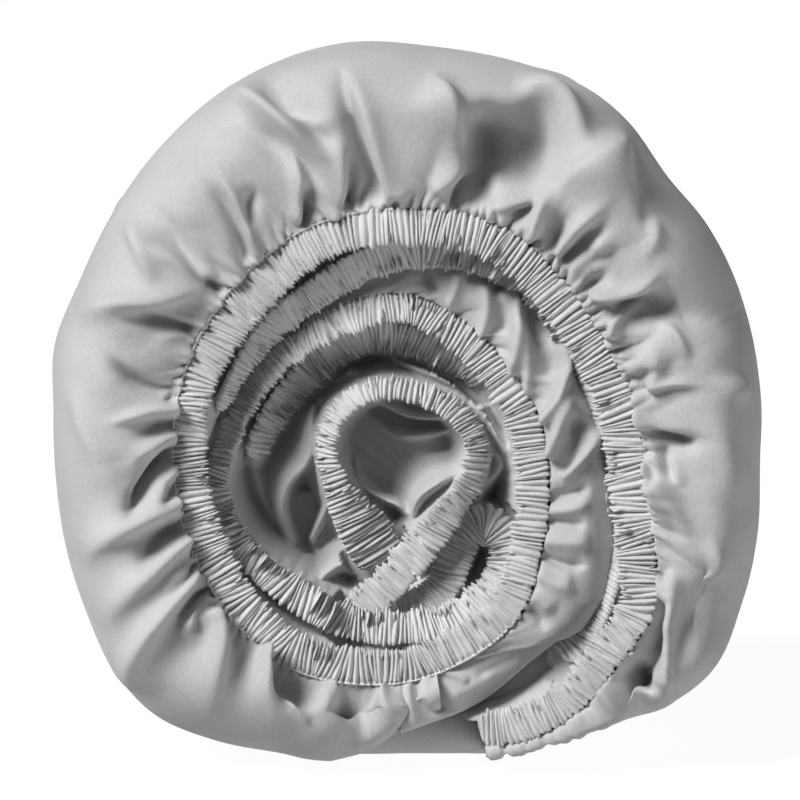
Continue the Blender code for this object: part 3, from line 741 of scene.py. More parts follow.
FOLDS = (
    # x1, z1, x2, z2, x3, z3, half width at the start, at the end, height, sharper side
    # upper left, from the top of the casing round to its left
    (-20, 217, -16, 199, -8, 174, 1.5, 2.7, -6, 0.6),
    (-17, 215, -11, 198, -3, 174, 1.8, 3, 3, -0.5), (-19, 193, -18, 183, -18, 172, 1, 1.5, -4, 0),
    (-23, 196, -21, 186, -19, 174, 1.8, 1.2, 2.5, 0), (-11, 181, -13, 177, -14, 172, 1, 1, -3, 0),
    (-31, 181, -31, 174, -31, 166, 2.1, 1.2, -6, 0),
    (-44, 190, -34, 186, -33, 168, 2.7, 1.5, 3.5, 0),
    (-59, 185, -51, 174, -46, 158, 1.5, 1.2, 3, 0), (-62, 183, -54, 171, -48, 157, 2, 1.2, -3, 0),
    (-62, 151, -59, 150, -56, 147, 1.5, 1.2, -5, 0),
    # left side
    (-88, 139, -76, 138, -64, 135, 3, 2, -4.2, -0.2),
    (-78, 131, -71, 134, -65, 133, 1.5, 1, 2.5, 0.4),
    (-93, 131, -82, 122, -69, 119, 2, 1.6, -4.5, 0.3),
    (-76, 126, -74, 120, -68, 121, 0.9, 0.8, 1.6, 0),
    (-76, 114, -73, 118, -69, 119, 0.9, 0.8, 2, 0.4),
    (-76, 115, -73, 116, -69, 117, 0.7, 0.7, -2, 0),
    (-92, 106, -82, 111, -70, 114, 1.8, 1.3, 3.2, 0.3),
    (-82, 102, -76, 106, -70, 108, 2, 1.2, -3.5, 0),
    (-86, 93, -78, 102, -70, 105, 1.6, 1.2, 3.5, 0), (-85, 76, -80, 88, -70, 101, 1.7, 1.2, -7, 0),
    (-78, 82, -76, 89, -70, 95, 1, 1, 3, 0.5), (-78, 82, -73, 86, -70, 89, 0.8, 0.8, -4, 0),
    (-81, 59, -76, 70, -68, 76, 4, 1.2, -4.5, 0),
    # lower left
    (-76, 53, -69, 60, -63, 67, 0.8, 0.8, -4, 0), (-67, 46, -65, 52, -60, 58, 1, 1, -4.5, 0),
    (-63, 39, -66, 47, -60, 55, 1.2, 1, 4, 0), (-38, 26, -45, 32, -44, 39, 1, 0.8, 3.5, -0.4),
    (-23, 19, -34, 28, -41, 36, 5, 3, -4, 0), (-23, 22, -23, 27, -26, 31, 0.6, 0.6, 2.5, -0.3),
    (-8, 12, -12, 18, -20, 28, 6, 4, -8.5, 0), (-2, 13, -6, 23, -5, 30, 1, 0.8, 3.5, 0),
    (9, 17, 2, 23, 1, 31, 2.5, 2, -4, 0), (17, 30, 10, 30, 7, 32, 0.5, 0.5, 1.8, 0),
    # upper right
    (23, 208, 23, 190, 21, 174, 5, 4.2, -9, 0), (16, 190, 14, 184, 6, 178, 1.8, 1.5, 3, 0.6),
    (19, 182, 16, 178, 13, 173, 1.6, 1.2, -6, 0), (40, 176, 33, 174, 27, 173, 1.2, 1.2, 3, 0),
    (40, 175, 36, 172, 31, 170, 1.2, 0.9, -4, 0), (46, 179, 40, 172, 38, 163, 2.1, 1.2, 3, 0),
    (49, 171, 45, 165, 43, 160, 2.1, 1.2, -5, 0), (63, 174, 52, 167, 45, 158, 2.4, 1.4, 3, 0),
    (62, 169, 53, 161, 46, 156, 3, 1.2, -4, 0), (61, 157, 57, 151, 53, 151, 2.1, 1.8, -4, 0),
    # right side
    (76, 157, 70, 148, 55, 147, 2.2, 1.4, 5, 0.6), (98, 127, 87, 142, 62, 141, 9, 3.5, -4.5, 0),
    (76, 137, 70, 143, 61, 134, 1.5, 1.3, 4, -0.5), (67, 131, 64, 127, 69, 121, 1.2, 1.2, -2.5, 0),
    (72, 134, 76, 126, 73, 118, 2.5, 2, 2, 0), (87, 117, 82, 120, 73, 118, 1, 1, 2, 0.4),
    (87, 106, 74, 108, 67, 115, 1.6, 1.2, 4, 0.6),
    (88, 103, 82, 103, 74, 107, 2.2, 1.8, -5.5, -0.4), (81, 89, 75, 102, 70, 109, 1.6, 1.4, 3, 0),
    (77, 87, 76, 94, 71, 100, 1.4, 0.9, -4, 0), (82, 89, 80, 94, 77, 101, 1.2, 1, -3, 0),
    (82, 82, 77, 94, 72, 98, 1.6, 1.3, 3, 0), (87, 69, 83, 83, 78, 92, 2.2, 2.2, 3, -0.4),
    (80, 61, 78, 62, 75, 63, 0.8, 0.8, -3, 0), (66, 22, 73, 38, 75, 56, 4, 3, -9, 0),
    (80, 66, 83, 50, 80, 26, 3, 3, 5, 0.85),
    # long soft folds from the lower left rim
    (-101, 62, -88, 74, -69, 85, 6, 2.2, 3.6, -0.2), (-94, 42, -82, 57, -66, 73, 6, 2, 4, -0.2),
    (-82, 22, -80, 38, -64, 65, 7, 1.8, 4.5, -0.2), (-64, 14, -58, 34, -61, 51, 6, 1.8, 4.5, -0.3),
    (-31, 15, -43, 28, -43, 41, 4, 1.4, 5, -0.5),
    # beside the loose end
    (74, 30, 71, 36, 66, 42, 2, 1.6, 4, -0.5), (67, 16, 62, 22, 56, 29, 3, 2, 4, -0.5),
    (74, 14, 71, 24, 67, 36, 4.5, 3, -9, 0), (80, 72, 78, 86, 72, 98, 2.5, 1.4, 4, -0.4),
)
LOOSE_FOLDS = (
    # the same, for folds that fade out before they reach the stitches
    (-57, 206, -41, 200, -23, 186, 3.6, 2.4, 5.5, -0.4),
    (-47, 208, -35, 206, -24, 200, 3.8, 2.7, -5, 0),
    (-35, 200, -28, 196, -23, 190, 2.4, 2.4, -3, 0),
    (-56, 199, -38, 190, -24, 178, 3, 2.4, -4, 0.3), (-45, 180, -47, 174, -47, 167, 2, 1.2, -3, 0),
    (-80, 177, -69, 163, -61, 151, 5, 2, -3, 0.3), (-78, 160, -70, 157, -63, 150, 2.4, 1.5, 2.5, 0),
    (-104, 139, -80, 144, -61, 149, 5, 1.8, 4.2, -0.3),
    (-87, 171, -80, 160, -78, 148, 3.5, 2, 3, -0.3), (-104, 121, -95, 103, -86, 76, 3.5, 2.5, 2, 0),
    (-31, 16, -34, 22, -40, 27, 0.8, 1, 3.5, 0.3), (38, 206, 36, 190, 32, 174, 13, 9, -13, 0.3),
    (5, 214, 13, 202, 16, 188, 4, 3, 6, 0.6), (31, 211, 44, 203, 57, 190, 3, 3, 4.5, -0.6),
    (70, 191, 57, 187, 41, 175, 9, 5, 6, -0.75), (60, 158, 58, 161, 53, 160, 2.4, 2.4, 2.5, 0),
    (73, 171, 74, 164, 72, 158, 2, 1.5, 2, 0), (85, 123, 83, 134, 75, 138, 1.2, 1.5, 3, -0.6),
    (85, 88, 82, 94, 79, 101, 1, 1, 2, 0), (100, 79, 96, 96, 91, 114, 4, 4, 1.6, 0),
    (106, 118, 98, 118, 91, 123, 3.5, 2.5, 2, 0), (94, 57, 95, 64, 91, 74, 2.4, 2.4, 2.5, 0),
    (95, 76, 93, 52, 85, 33, 7, 6, -4.2, 0),
)


def outline_radius(angle):
    """The roll's outline in mm at an angle in degrees: a smooth curve through the closed table."""
    table = np.array(OUTLINE, dtype=float)
    table = np.vstack((table[-2:] - (360, 0), table, table[:2] + (360, 0)))
    fine = curve_through(table, 10)
    return 0.5 * ROLL_WIDTH * np.interp(np.mod(angle, 360.0), fine[:, 0], fine[:, 1])


def column_of(table, at, column):
    """One column of a table read off between its rows."""
    rows = np.array(table, dtype=float)
    return np.interp(at, rows[:, 0], rows[:, column])


print("folds placed by hand:", len(FOLDS) + len(LOOSE_FOLDS))

# %% the puff
PUFF_COLUMNS = 1000
INSIDE_ROWS, OVER_ROWS, FLANK_ROWS = 46, 30, 8
ROW_GROWTH = 1.045  # each row is this much longer than the one before
FIRST_ANGLE = -77.0  # degrees, where the puff starts at the loose end
CLOTH_START = 0.975  # from the casing's middle to the cloth, over its half width
CLOTH_SUNK = 0.95  # behind the casing's middle, over its half thickness
RIM_ROOM = 20.0  # how far the puff goes on behind the rim
PUFF_GATHERED = 1.5  # cloth gathered into each length of the mouth


def along_casing(rows_from, rows_to, columns):
    """Evenly spaced places along the casing's stitched edge between two rows of its table, and how
    far along it they are."""
    ends = np.interp((rows_from, rows_to), np.arange(len(row_length)), row_length)
    length = np.linspace(*ends, columns)
    route = np.stack([np.interp(length, turns_along, c) for c in turns_route.T], axis=1)
    _, across, facing = ribbon_frame(route)
    edge = (route[:, :3] - across * (0.5 * route[:, 4:5] * CLOTH_START)
            - facing * (CLOTH_SUNK * HALF_THICK))
    return length, edge


def puff_base(columns):
    """Rows from the stitches to the flank. Depth is a quarter sine up to the crest, then a quarter
    ellipse over the rim; places run straight out from the roll's axis."""
    length, edge = along_casing(0.0, MOUTH_ROWS - 0.7, columns)
    angle = np.unwrap(np.arctan2(edge[:, 2] - MID_HEIGHT, edge[:, 0]))
    clock = np.degrees(angle)
    clock += 360.0 * np.round((FIRST_ANGLE - clock[0]) / 360.0)
    start = np.hypot(edge[:, 0], edge[:, 2] - MID_HEIGHT)
    outline = outline_radius(clock)
    rim = outline * column_of(PUFF_LIMIT, clock, 1)
    rim_y = column_of(PUFF_LIMIT, clock, 2)
    crest = np.clip((column_of(PUFF, clock, 1) * outline - start) / (rim - start), 0.12, 0.97)
    crest_y = column_of(PUFF, clock, 2)
    share = growing_shares(INSIDE_ROWS, ROW_GROWTH, INSIDE_ROWS)
    inner = share * crest
    inner_y = edge[:, 1] + (crest_y - edge[:, 1]) * np.sin(0.5 * np.pi * share)
    turn = np.linspace(0.0, 0.5 * np.pi, OVER_ROWS)[:, None]
    outer = crest + (1.0 - crest) * np.sin(turn)
    outer_y = crest_y + (rim_y - crest_y) * (1.0 - np.cos(turn))
    flat = np.linspace(0.0, 1.0, FLANK_ROWS + 1)[1:, None] + 0.0 * crest
    t = np.vstack((inner, outer, np.ones_like(flat)))
    y = np.vstack((inner_y, outer_y, rim_y + RIM_ROOM * flat))
    radius = start + t * (rim - start)
    points = np.stack((radius * np.cos(angle), y, MID_HEIGHT + radius * np.sin(angle)), axis=-1)
    return length, clock, t, radius - start, points


def lay_on_surface(points):
    """Nothing reaches below the surface the roll lies on: z is at least 0, softly."""
    z = points[..., 2]
    points[..., 2] = 0.5 * (z + np.sqrt(z ** 2 + 1.0))
    return points


FOLD_DEPTH = 1.95  # of the folds, over the heights in their tables
GATHERS = (
    # seed, from one to the next, height, least reach, most reach
    (5, 2.4, 2.2, 2.5, 10.0), (6, 6.0, 2.3, 7.0, 26.0),
)
FINE_GATHERS = (27, 2.0, 0.9, 1.5, 6.5)  # laid on afterwards, since settling would smooth them
length, clock, t, out, base = puff_base(PUFF_COLUMNS)
normal = front_normals(base)
strength = column_of(GATHERING, clock, 1)[None, :]
place = np.broadcast_to(length[None, :], t.shape)
height = sum(strength * gather_heights(place, out, *row) for row in GATHERS)
height *= smooth_step(-1.0, 0.8, out)
height += (FOLD_DEPTH * (fold_heights(base[..., 0], base[..., 2], FOLDS, (0.6, 0.08))
                         + fold_heights(base[..., 0], base[..., 2], LOOSE_FOLDS, (0.45, 0.45)))
           * smooth_step(0.0, 2.5, out) * smooth_step(1.0, 0.93, t))
goal = base + normal * height[..., None]
SPARE_CLOTH = 0.8  # share of the rim's extra length that the folds take up
SETTLING = (
    # rows skipped, columns skipped, rounds, hold to the goal, bending
    (2, 4, 400, 0.012, 0.45), (2, 2, 300, 0.02, 0.25), (1, 1, 120, 0.05, 0.06),
)

puffed = settle_in_steps(base, goal, normal, out, SETTLING, SPARE_CLOTH)
puffed = puffed + normal * (strength * smooth_step(0.0, 1.8, out)
                            * gather_heights(place, out, *FINE_GATHERS))[..., None]
puffed = lay_on_surface(puffed)
puff_uv = np.stack(np.broadcast_arrays(PUFF_GATHERED * length[None, :], travelled(base)), axis=-1)
outer_cloth = add_cloth("outer_cloth", puffed, sheet_cotton, puff_uv)
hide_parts("sheet_roll")

# %% [markdown]
# ## The flank and the far end
# Behind the rim the sheet lies round the roll in one long sweep, with soft wrinkles along it. At
# the far end the wound edges of the cloth show as a spiral. Both are one grid, in polar form.

# %% flank and far end
FLANK = (
    # radius over the outline's, y
    (0.600, -76.0), (0.720, -84.0), (0.830, -88.0), (0.900, -88.0), (0.950, -83.0), (0.978, -72.0),
    (0.993, -58.0), (0.999, -48.0), (1.004, -34.0), (1.003, -8.0), (0.999, 24.0), (0.988, 56.0),
    (0.955, 82.0), (0.880, 100.0), (0.760, 109.0), (0.660, 111.0), (0.560, 112.0), (0.460, 112.6),
    (0.370, 113.0), (0.280, 113.0), (0.190, 112.8), (0.100, 112.4), (0.030, 112.0), (0.001, 112.0),
)
FLANK_COLUMNS = 460
FLANK_ROW = 60  # a row on the flank's side, where outward is plain
FLANK_ROUND = 112.0  # radius that stands for the outline's, along the flank
FLANK_ANGLES = (-78.0, 284.0)  # degrees, once round and a little past it
LAYER = 8.0  # from one wound edge to the next at the far end
LAYER_DEEP = 2.4
WRINKLES = (
    # how many, seed, where round the roll, where along it, length, half width, height
    90, 14, (-150.0, 560.0), (-60.0, 60.0), 85.0, 4.5, 1.1,
)


def seeded_folds(count, seed, x_range, z_range, length, half, rise):
    """Folds drawn at random, nearly along the second direction."""
    rng = np.random.default_rng(seed)
    rows = []
    for _ in range(count):
        x, z = rng.uniform(*x_range), rng.uniform(*z_range)
        long = rng.uniform(0.5, 1.0) * length
        sway, bow = rng.normal(0.0, 0.18) * long, rng.normal(0.0, 0.06) * long
        wide = half * rng.uniform(0.6, 1.4)
        rows.append((x, z, x + 0.5 * sway + bow, z + 0.5 * long, x + sway, z + long, wide,
                     wide * rng.uniform(0.7, 1.5), rise * rng.normal(0.0, 1.0),
                     rng.uniform(-0.5, 0.5)))
    return rows


fine = curve_through(FLANK, 9)
turn = np.linspace(*FLANK_ANGLES, FLANK_COLUMNS)
rim = outline_radius(turn)
radius = np.maximum(fine[:, 0:1] * rim[None, :] - 0.3, 0.05)
angle = np.radians(turn)
deep = np.broadcast_to(fine[:, 1:2], radius.shape)
flank_base = np.stack((radius * np.cos(angle), deep,
                       MID_HEIGHT + radius * np.sin(angle)), axis=-1)
flank_normal = surface_normals(flank_base)
outward = (flank_normal[FLANK_ROW, :, 0] * np.cos(angle)
           + flank_normal[FLANK_ROW, :, 2] * np.sin(angle))
flank_normal *= np.sign(outward.mean())
arc = np.broadcast_to((angle * FLANK_ROUND)[None, :], radius.shape)
lift = fold_heights(arc, deep, seeded_folds(*WRINKLES), (0.4, 0.4))
lift *= smooth_step(-60.0, -20.0, deep) * smooth_step(112.0, 90.0, deep)
end = smooth_step(96.0, 110.0, deep)
layer = np.mod(radius / LAYER + turn[None, :] / 360.0, 1.0)
lift += end * smooth_step(0.5, 6.0, radius) * LAYER_DEEP * (np.sin(np.pi * layer) ** 0.6 - 0.6)
flank_points = lay_on_surface(flank_base + flank_normal * lift[..., None])
flank_uv = np.stack((arc, travelled(flank_base)), axis=-1)
flank_cloth = add_cloth("flank_cloth", flank_points, sheet_cotton, flank_uv)

# %% [markdown]
# ## The second turn's own puff
# The cloth sewn to the second turn swells a little and then dives under the outer casing. It is a
# grid from the stitches of the second turn to a line behind the outer turn.

# %% second turn's puff
INNER_REACH = (
    # casing row, end x, end y, end z, crest share, crest y
    (22.7, 50, -84, 40, 0.45, -101.5), (23.2, 58, -80, 44, 0.45, -102),
    (24, 66, -78, 54, 0.42, -103), (25, 68, -76, 70, 0.40, -103), (26, 66, -76, 88, 0.40, -102.5),
    (27, 62, -76, 108, 0.42, -101), (28, 56, -76, 128, 0.45, -99), (29, 42, -76, 148, 0.45, -97),
    (30, 20, -76, 162, 0.40, -95), (31, -6, -76, 163, 0.35, -93.5), (32, -32, -76, 150, 0.30, -92),
    (33, -50, -76, 132, 0.30, -91),
)
INNER_FOLDS = (
    # x1, z1, x2, z2, x3, z3, half width at the start, at the end, height, sharper side
    # long folds that run down beside the second turn
    (30, 150, 34, 138, 34, 121, 2.2, 1.6, 5, 0.5), (36, 140, 38, 128, 38, 106, 1.4, 1.2, 3.5, 0.4),
    (37, 146, 42, 134, 43, 120, 1.6, 1.6, -4, 0), (43, 136, 48, 122, 42, 106, 2.0, 1.5, 5, 0.4),
    (40, 112, 40, 104, 41, 98, 1.0, 1.2, -3, 0), (50, 118, 48, 106, 44, 96, 2.5, 1.8, 4.5, 0.2),
    (54, 110, 52, 102, 46, 92, 1.8, 1.2, -4, 0), (58, 106, 54, 98, 47, 90, 2.2, 1.5, 3.5, 0),
    # creases from the stitches to the outer turn, lower down
    (56, 88, 49, 86, 42, 84, 1.2, 1.0, -3.5, 0), (57, 84, 50, 81, 43, 80, 1.6, 1.2, 2, 0),
    (55, 76, 48, 77, 41, 77, 1.2, 0.9, -3, 0), (57, 72, 50, 71, 42, 71, 2.4, 1.6, 2.5, 0),
    (55, 64, 48, 64, 40, 67, 1.2, 0.9, -4, 0.4), (52, 58, 46, 58, 39, 61, 3.0, 1.6, 2.5, 0),
    (43, 44, 39, 49, 33, 53, 1.2, 0.9, -3, 0), (46, 50, 41, 53, 35, 56, 2.0, 1.4, 2, 0),
    # arcs in the shade under the outer turn
    (24, 152, 24, 141, 23, 134, 1.5, 1.5, 3.5, 0.3), (16, 156, 15, 148, 12, 143, 1.5, 1.3, 3, 0),
    (4, 158, 6, 151, 8, 146, 1.6, 1.3, -3, 0), (28, 154, 29, 144, 27, 134, 1.3, 1.3, -3.5, 0),
)
INNER_GATHERS = (
    # share, seed, from one to the next, height, least reach, most reach
    (0.9, 15, 2.4, 0.8, 2.0, 6.0), (0.8, 16, 5.5, 1.3, 4.0, 14.0),
)
INNER_COLUMNS, INNER_ROWS, INNER_GROWTH = 620, 60, 1.03
INNER_ENDS = (22.7, 33.0)  # the casing's rows that it lies between
INNER_FOLD_DEPTH = 1.4
TUCK_START, TUCK_BACK = 5.0, 12.0  # it curls back this far over its first stretch
length, edge = along_casing(*INNER_ENDS, INNER_COLUMNS)
row_at = np.interp(length, row_length, np.arange(len(row_length)))
*goal, crest, crest_y = (column_of(INNER_REACH, row_at, c) for c in (1, 2, 3, 4, 5))
goal = np.stack(goal, axis=-1)
share = growing_shares(INNER_ROWS, INNER_GROWTH, INNER_ROWS - 1)
swell = np.clip(share / crest, 0.0, 1.0)
dive = np.clip((share - crest) / (1.0 - crest), 0.0, 1.0)
inner_base = edge[None] + (goal - edge)[None] * share[..., None]
inner_base[..., 1] = np.where(
    share < crest, edge[:, 1] + (crest_y - edge[:, 1]) * np.sin(0.5 * np.pi * swell),
    crest_y + (goal[:, 1] - crest_y) * (1.0 - np.sqrt(1.0 - dive ** 2 * 0.999)))
tuck = smooth_step(TUCK_START, 0.0, length - length[0])[None, :]
inner_base[..., 1] += TUCK_BACK * (1.0 - np.sqrt(1.0 - tuck ** 2 * 0.999))
inner_normal = front_normals(inner_base)
out = np.linalg.norm(inner_base - edge[None], axis=-1)
place = np.broadcast_to(length[None, :], out.shape) - length[0]
height = sum(part * gather_heights(place, out, *row) for part, *row in INNER_GATHERS)
height *= smooth_step(0.0, 1.2, out)
height += (INNER_FOLD_DEPTH
           * fold_heights(inner_base[..., 0], inner_base[..., 2], INNER_FOLDS, (0.3, 0.08))
           * smooth_step(0.0, 2.0, out))
inner_goal = inner_base + inner_normal * height[..., None]
INNER_SPARE = 0.5
INNER_SETTLING = ((2, 2, 250, 0.03, 0.20), (1, 1, 120, 0.06, 0.05))
inner_points = settle_in_steps(inner_base, inner_goal, inner_normal, out, INNER_SETTLING,
                INNER_SPARE)
inner_uv = np.stack(np.broadcast_arrays(PUFF_GATHERED * length[None, :], out), axis=-1)
inner_cloth = add_cloth("second_turn_cloth", inner_points, sheet_cotton, inner_uv)

# %% [markdown]
# ## The cloth tucked behind the loose end
# Under the second turn the puff narrows to the right and slips behind the casing's loose end. It is a
# strip between two listed lines, which swells a little and turns back along its lower edge.

# %% tucked cloth
TUCK_LINES = (
    # top x, y, z, bottom x, y, z
    (-3, -101, 33, -2, -103.5, 13.6), (6, -101.5, 34, 8, -102.5, 17),
    (16, -101.5, 37, 18, -101, 20.6), (25, -100, 41, 27, -99, 26), (34, -97, 46, 37.5, -96, 34.5),
    (45, -92, 49, 47.5, -92, 41.4), (56, -86, 54, 57, -86, 47),
)
TUCK_FOLDS = (
    # x1, z1, x2, z2, x3, z3, half width at the start, at the end, height, sharper side
    (0, 31, 1, 22, 3, 13, 1.5, 2.5, 2.8, 0.3), (8, 32, 14, 31, 19, 28, 1.2, 1.2, 1.6, 0),
    (5, 30, 8, 24, 10, 18, 1.6, 2.2, -1.6, 0), (20, 30, 27, 33, 34, 37, 1.6, 2.0, -1.4, 0),
    (12, 24, 20, 27, 28, 32, 2.2, 2.2, 1.2, 0),
)
TUCK_COLUMNS, TUCK_ROWS = 160, 60
TUCK_BULGE, TUCK_TURN, TUCK_DROP = 2.5, 12.0, 2.0
TUCK_FLAT = 0.7  # share of its rows before it turns back
lines = even_route(TUCK_LINES, 60.0 / TUCK_COLUMNS)[1][:, None, :]
v = np.linspace(0.0, 1.0, TUCK_ROWS)[None, :, None]
flat_part = np.clip(v / TUCK_FLAT, 0.0, 1.0)
over = 0.5 * np.pi * np.clip((v - TUCK_FLAT) / (1.0 - TUCK_FLAT), 0.0, 1.0)
tucked = lines[..., :3] * (1 - flat_part) + lines[..., 3:] * flat_part
tucked[..., 1:2] += TUCK_TURN * (1 - np.cos(over)) - TUCK_BULGE * np.sin(np.pi * flat_part)
tucked[..., 2:3] -= TUCK_DROP * np.sin(over)
tucked[..., 1] -= fold_heights(tucked[..., 0], tucked[..., 2], TUCK_FOLDS)
tucked_cloth = add_cloth("tucked_cloth", tucked, sheet_cotton, tucked[..., [0, 2]], flip=True)

# %% [markdown]
# ## The cloth inside the mouth
# Between the turns the cloth lies back in deep hollows. From the front it is a floor seen past the
# casings, so it is one sheet whose depth is worked out over a square grid: a floor, hollows, banks
# that rise to the back of each casing, and the crests of the cloth that stands up between them.

# %% cloth inside the mouth
FLOOR_Y = -64.0
HOLLOWS = (
    # x, z, half width, half height, the bottom's y
    (-40, 80, 14, 24, -44), (-2, 99, 15, 12, -42), (52, 128, 7, 14, -54), (20, 59, 9, 6, -56),
    (34, 30, 13, 6, -50),
)
RIDGES = (
    # x, z, the crest's y, width on the left of its way and on the right, for each place on a crest
    # the soft lobe in the left well, with its thin bright edge
    ((-29, 115, -82, 1.4, 5), (-29, 104, -84, 1.2, 7), (-30, 94, -85, 1.2, 8),
     (-36, 87, -85, 1.2, 7), (-38, 79, -84, 1.2, 5), (-35, 69, -78, 1.4, 4)),
    ((-45, 101, -76, 6, 6), (-47, 90, -78, 6, 5), (-41, 75, -74, 5, 5)),
    ((-24, 94, -82, 3, 1.5), (-25, 81, -83, 3, 1.3), (-30, 69, -76, 3, 1.5)),
    # above the loop
    ((-27, 112, -80, 2.2, 2.2), (-26, 118, -84, 2.4, 2), (-19, 121, -84, 2.4, 2),
     (-13, 121, -78, 2, 2)),
    # the twisted strip
    ((-12, 128, -82, 1.5, 2.4), (-5, 129, -88, 1.5, 3), (3, 126, -91, 1.4, 3.2),
     (12, 121, -93, 1.4, 3), (20, 115, -93, 1.4, 3), (26, 105, -92, 1.6, 3.2),
     (32, 96, -90, 2, 3.5)),
    ((-4, 125, -84, 1, 1), (4, 122, -88, 1, 1.2), (14, 118, -90, 1, 1.2)),
    # inside the loop
    ((-15, 111, -82, 3.5, 1.6), (-8, 112, -85, 4, 1.4), (1, 108, -86, 4, 1.3),
     (15, 107, -84, 4, 1.4)),
    ((-12, 108, -76, 2.5, 1.2), (-4, 102, -82, 2.8, 1.1), (5, 101, -83, 2.8, 1.1),
     (15, 104, -80, 2.5, 1.2)),
    ((4, 98, -72, 1.4, 1.2), (9, 96, -76, 1.3, 1.2), (16, 98, -75, 1.4, 1.2)),
    # the small roll
    ((-16, 94, -78, 1, 2.2), (-14, 87, -83, 0.9, 2.2), (-8, 83, -86, 0.9, 2),
     (-3, 81, -88, 1.2, 1.8), (0, 78, -87, 1.5, 1.6)),
    ((-20, 104, -78, 2.4, 2), (-19, 96, -80, 2.2, 2), (-17, 90, -78, 2, 2)),
    # the bright bulge
    ((1, 74, -86, 2.2, 3), (3, 83, -92, 2.8, 4), (9, 88, -94, 3.2, 4), (15, 91, -91, 3, 4)),
    # right of the loop
    ((26, 98, -86, 3, 3), (28, 93, -88, 3, 3.4), (24, 87, -86, 3, 3)),
    ((21, 112, -84, 1.4, 1.8), (26, 104, -87, 1.4, 2), (26, 97, -86, 1.4, 2)),
    # the tongue at the bottom
    ((-28, 57, -84, 3, 3), (-20, 63, -90, 3.4, 3.4), (-13, 61, -91, 3.4, 3), (-11, 56, -88, 3, 3)),
    ((-54, 75, -76, 3, 4), (-45, 69, -76, 3, 4), (-33, 63, -76, 3, 3)),
)
RIDGE_FALL = 22.0  # how far the cloth falls back beside a ridge


def ridge_depths(x, z, ridges):
    """Cloth that stands in ridges: the foremost of y + fall * (1 - 1 / (1 + (d / w)^2)), where y
    is the crest's depth, d the distance from the crest's line and w the width on that side."""
    front = np.full_like(x, np.inf)
    for rows in ridges:
        line = curve_through(rows, 6)
        close, best, share, away, left = nearest_on_line(
            x, z, line[:, 0], line[:, 1], 6.0 * line[:, 3:5].max())
        at = line[best] + share[:, None] * np.diff(line, axis=0)[best]
        away = away / np.where(left > 0.0, at[:, 3], at[:, 4])
        depth = at[:, 2] + RIDGE_FALL * (1.0 - 1.0 / (1.0 + away ** 2))
        front[close] = np.minimum(front[close], depth)
    return front


BANK_SLOPE = 4.0  # how steeply the cloth falls away beside a casing
SEAT = 2.2  # from a casing's middle to the cloth behind it
SEAT_SHARE = 0.75  # of a casing's half width that it lies on
MOUTH_X, MOUTH_Z = (-70.0, 72.0), (16.0, 168.0)
MOUTH_CELL = 0.54
FAR_BACK = -300.0  # stands for no casing near
x, z = np.meshgrid(np.arange(*MOUTH_X, MOUTH_CELL), np.arange(*MOUTH_Z, MOUTH_CELL))
depth = np.full_like(x, FLOOR_Y)
for middle_x, middle_z, half_x, half_z, bottom in HOLLOWS:
    away = ((x - middle_x) / half_x) ** 2 + ((z - middle_z) / half_z) ** 2
    depth += (bottom - FLOOR_Y) * np.exp(-0.6 * away ** 1.5)
depth = np.minimum(depth, ridge_depths(x, z, RIDGES))
runs = [curve_through(rows, 5) for rows in (CASING_TURNS, CASING_UNDER_OUTER,
                                            CASING_UNDER_SECOND, CASING_LOOP)]
for run in runs:
    half = 0.5 * run[:, 4] * np.cos(np.radians(run[:, 3])) * SEAT_SHARE
    away = np.hypot(x[..., None] - run[:, 0], z[..., None] - run[:, 2])
    bank = run[:, 1] + SEAT + BANK_SLOPE * np.clip(away - half, 0.0, None)
    depth = np.minimum(depth, bank.min(axis=-1))
for _ in range(3):
    near_by = depth[:-2, 1:-1] + depth[2:, 1:-1] + depth[1:-1, :-2] + depth[1:-1, 2:]
    depth[1:-1, 1:-1] = 0.5 * depth[1:-1, 1:-1] + 0.125 * near_by
for run in runs:
    _, across, facing = ribbon_frame(run)
    dx, dz = x[..., None] - run[:, 0], z[..., None] - run[:, 2]
    flat = np.hypot(across[:, 0], across[:, 2])
    aside = (dx * across[:, 0] + dz * across[:, 2]) / flat
    half = 0.5 * run[:, 4] * flat
    near = (np.abs(aside) < half + 2.0) & (dx ** 2 + dz ** 2 < (half + 3.0) ** 2)
    back = run[:, 1] + np.clip(aside, -half, half) * across[:, 1] / flat + SEAT
    depth = np.maximum(depth, np.where(near, back, FAR_BACK).max(axis=-1))
hollow_cloth = add_cloth("mouth_cloth", np.stack((x, depth, z), axis=-1), sheet_cotton,
                         np.stack((x, z), axis=-1))

# %% [markdown]
# ## Each piece's flat size
# Every piece is a stretch of one sheet. A gathered piece's flat size is the size it has when its
# pleats are pulled out.

FLATS = (
    # piece, flat width, flat length in metres, held, what it rests on
    (casing_outer, 0.012, 0.70, "gathered", [outer_cloth]),
    (casing_inner, 0.011, 0.62, "gathered", [hollow_cloth]),
    (under_outer, 0.012, 0.43, "gathered", [hollow_cloth]),
    (under_second, 0.012, 0.18, "gathered", [hollow_cloth]),
    (casing_loop, 0.012, 0.28, "gathered", [hollow_cloth]),
    (outer_cloth, 0.10, 0.70, "folded", ["sheet_roll"]),
    (flank_cloth, 0.26, 0.70, "folded", ["sheet_roll"]),
    (inner_cloth, 0.035, 0.25, "folded", ["sheet_roll"]),
    (tucked_cloth, 0.028, 0.06, "folded", ["sheet_roll"]),
    (hollow_cloth, 0.21, 0.21, "folded", ["sheet_roll"]),
)
for piece, width, length, held, under in FLATS:
    surface = sum(p.area for p in piece.data.polygons)
    print(f"{piece.name}: {surface:.4f} m2 over {width * length:.4f} m2 flat")

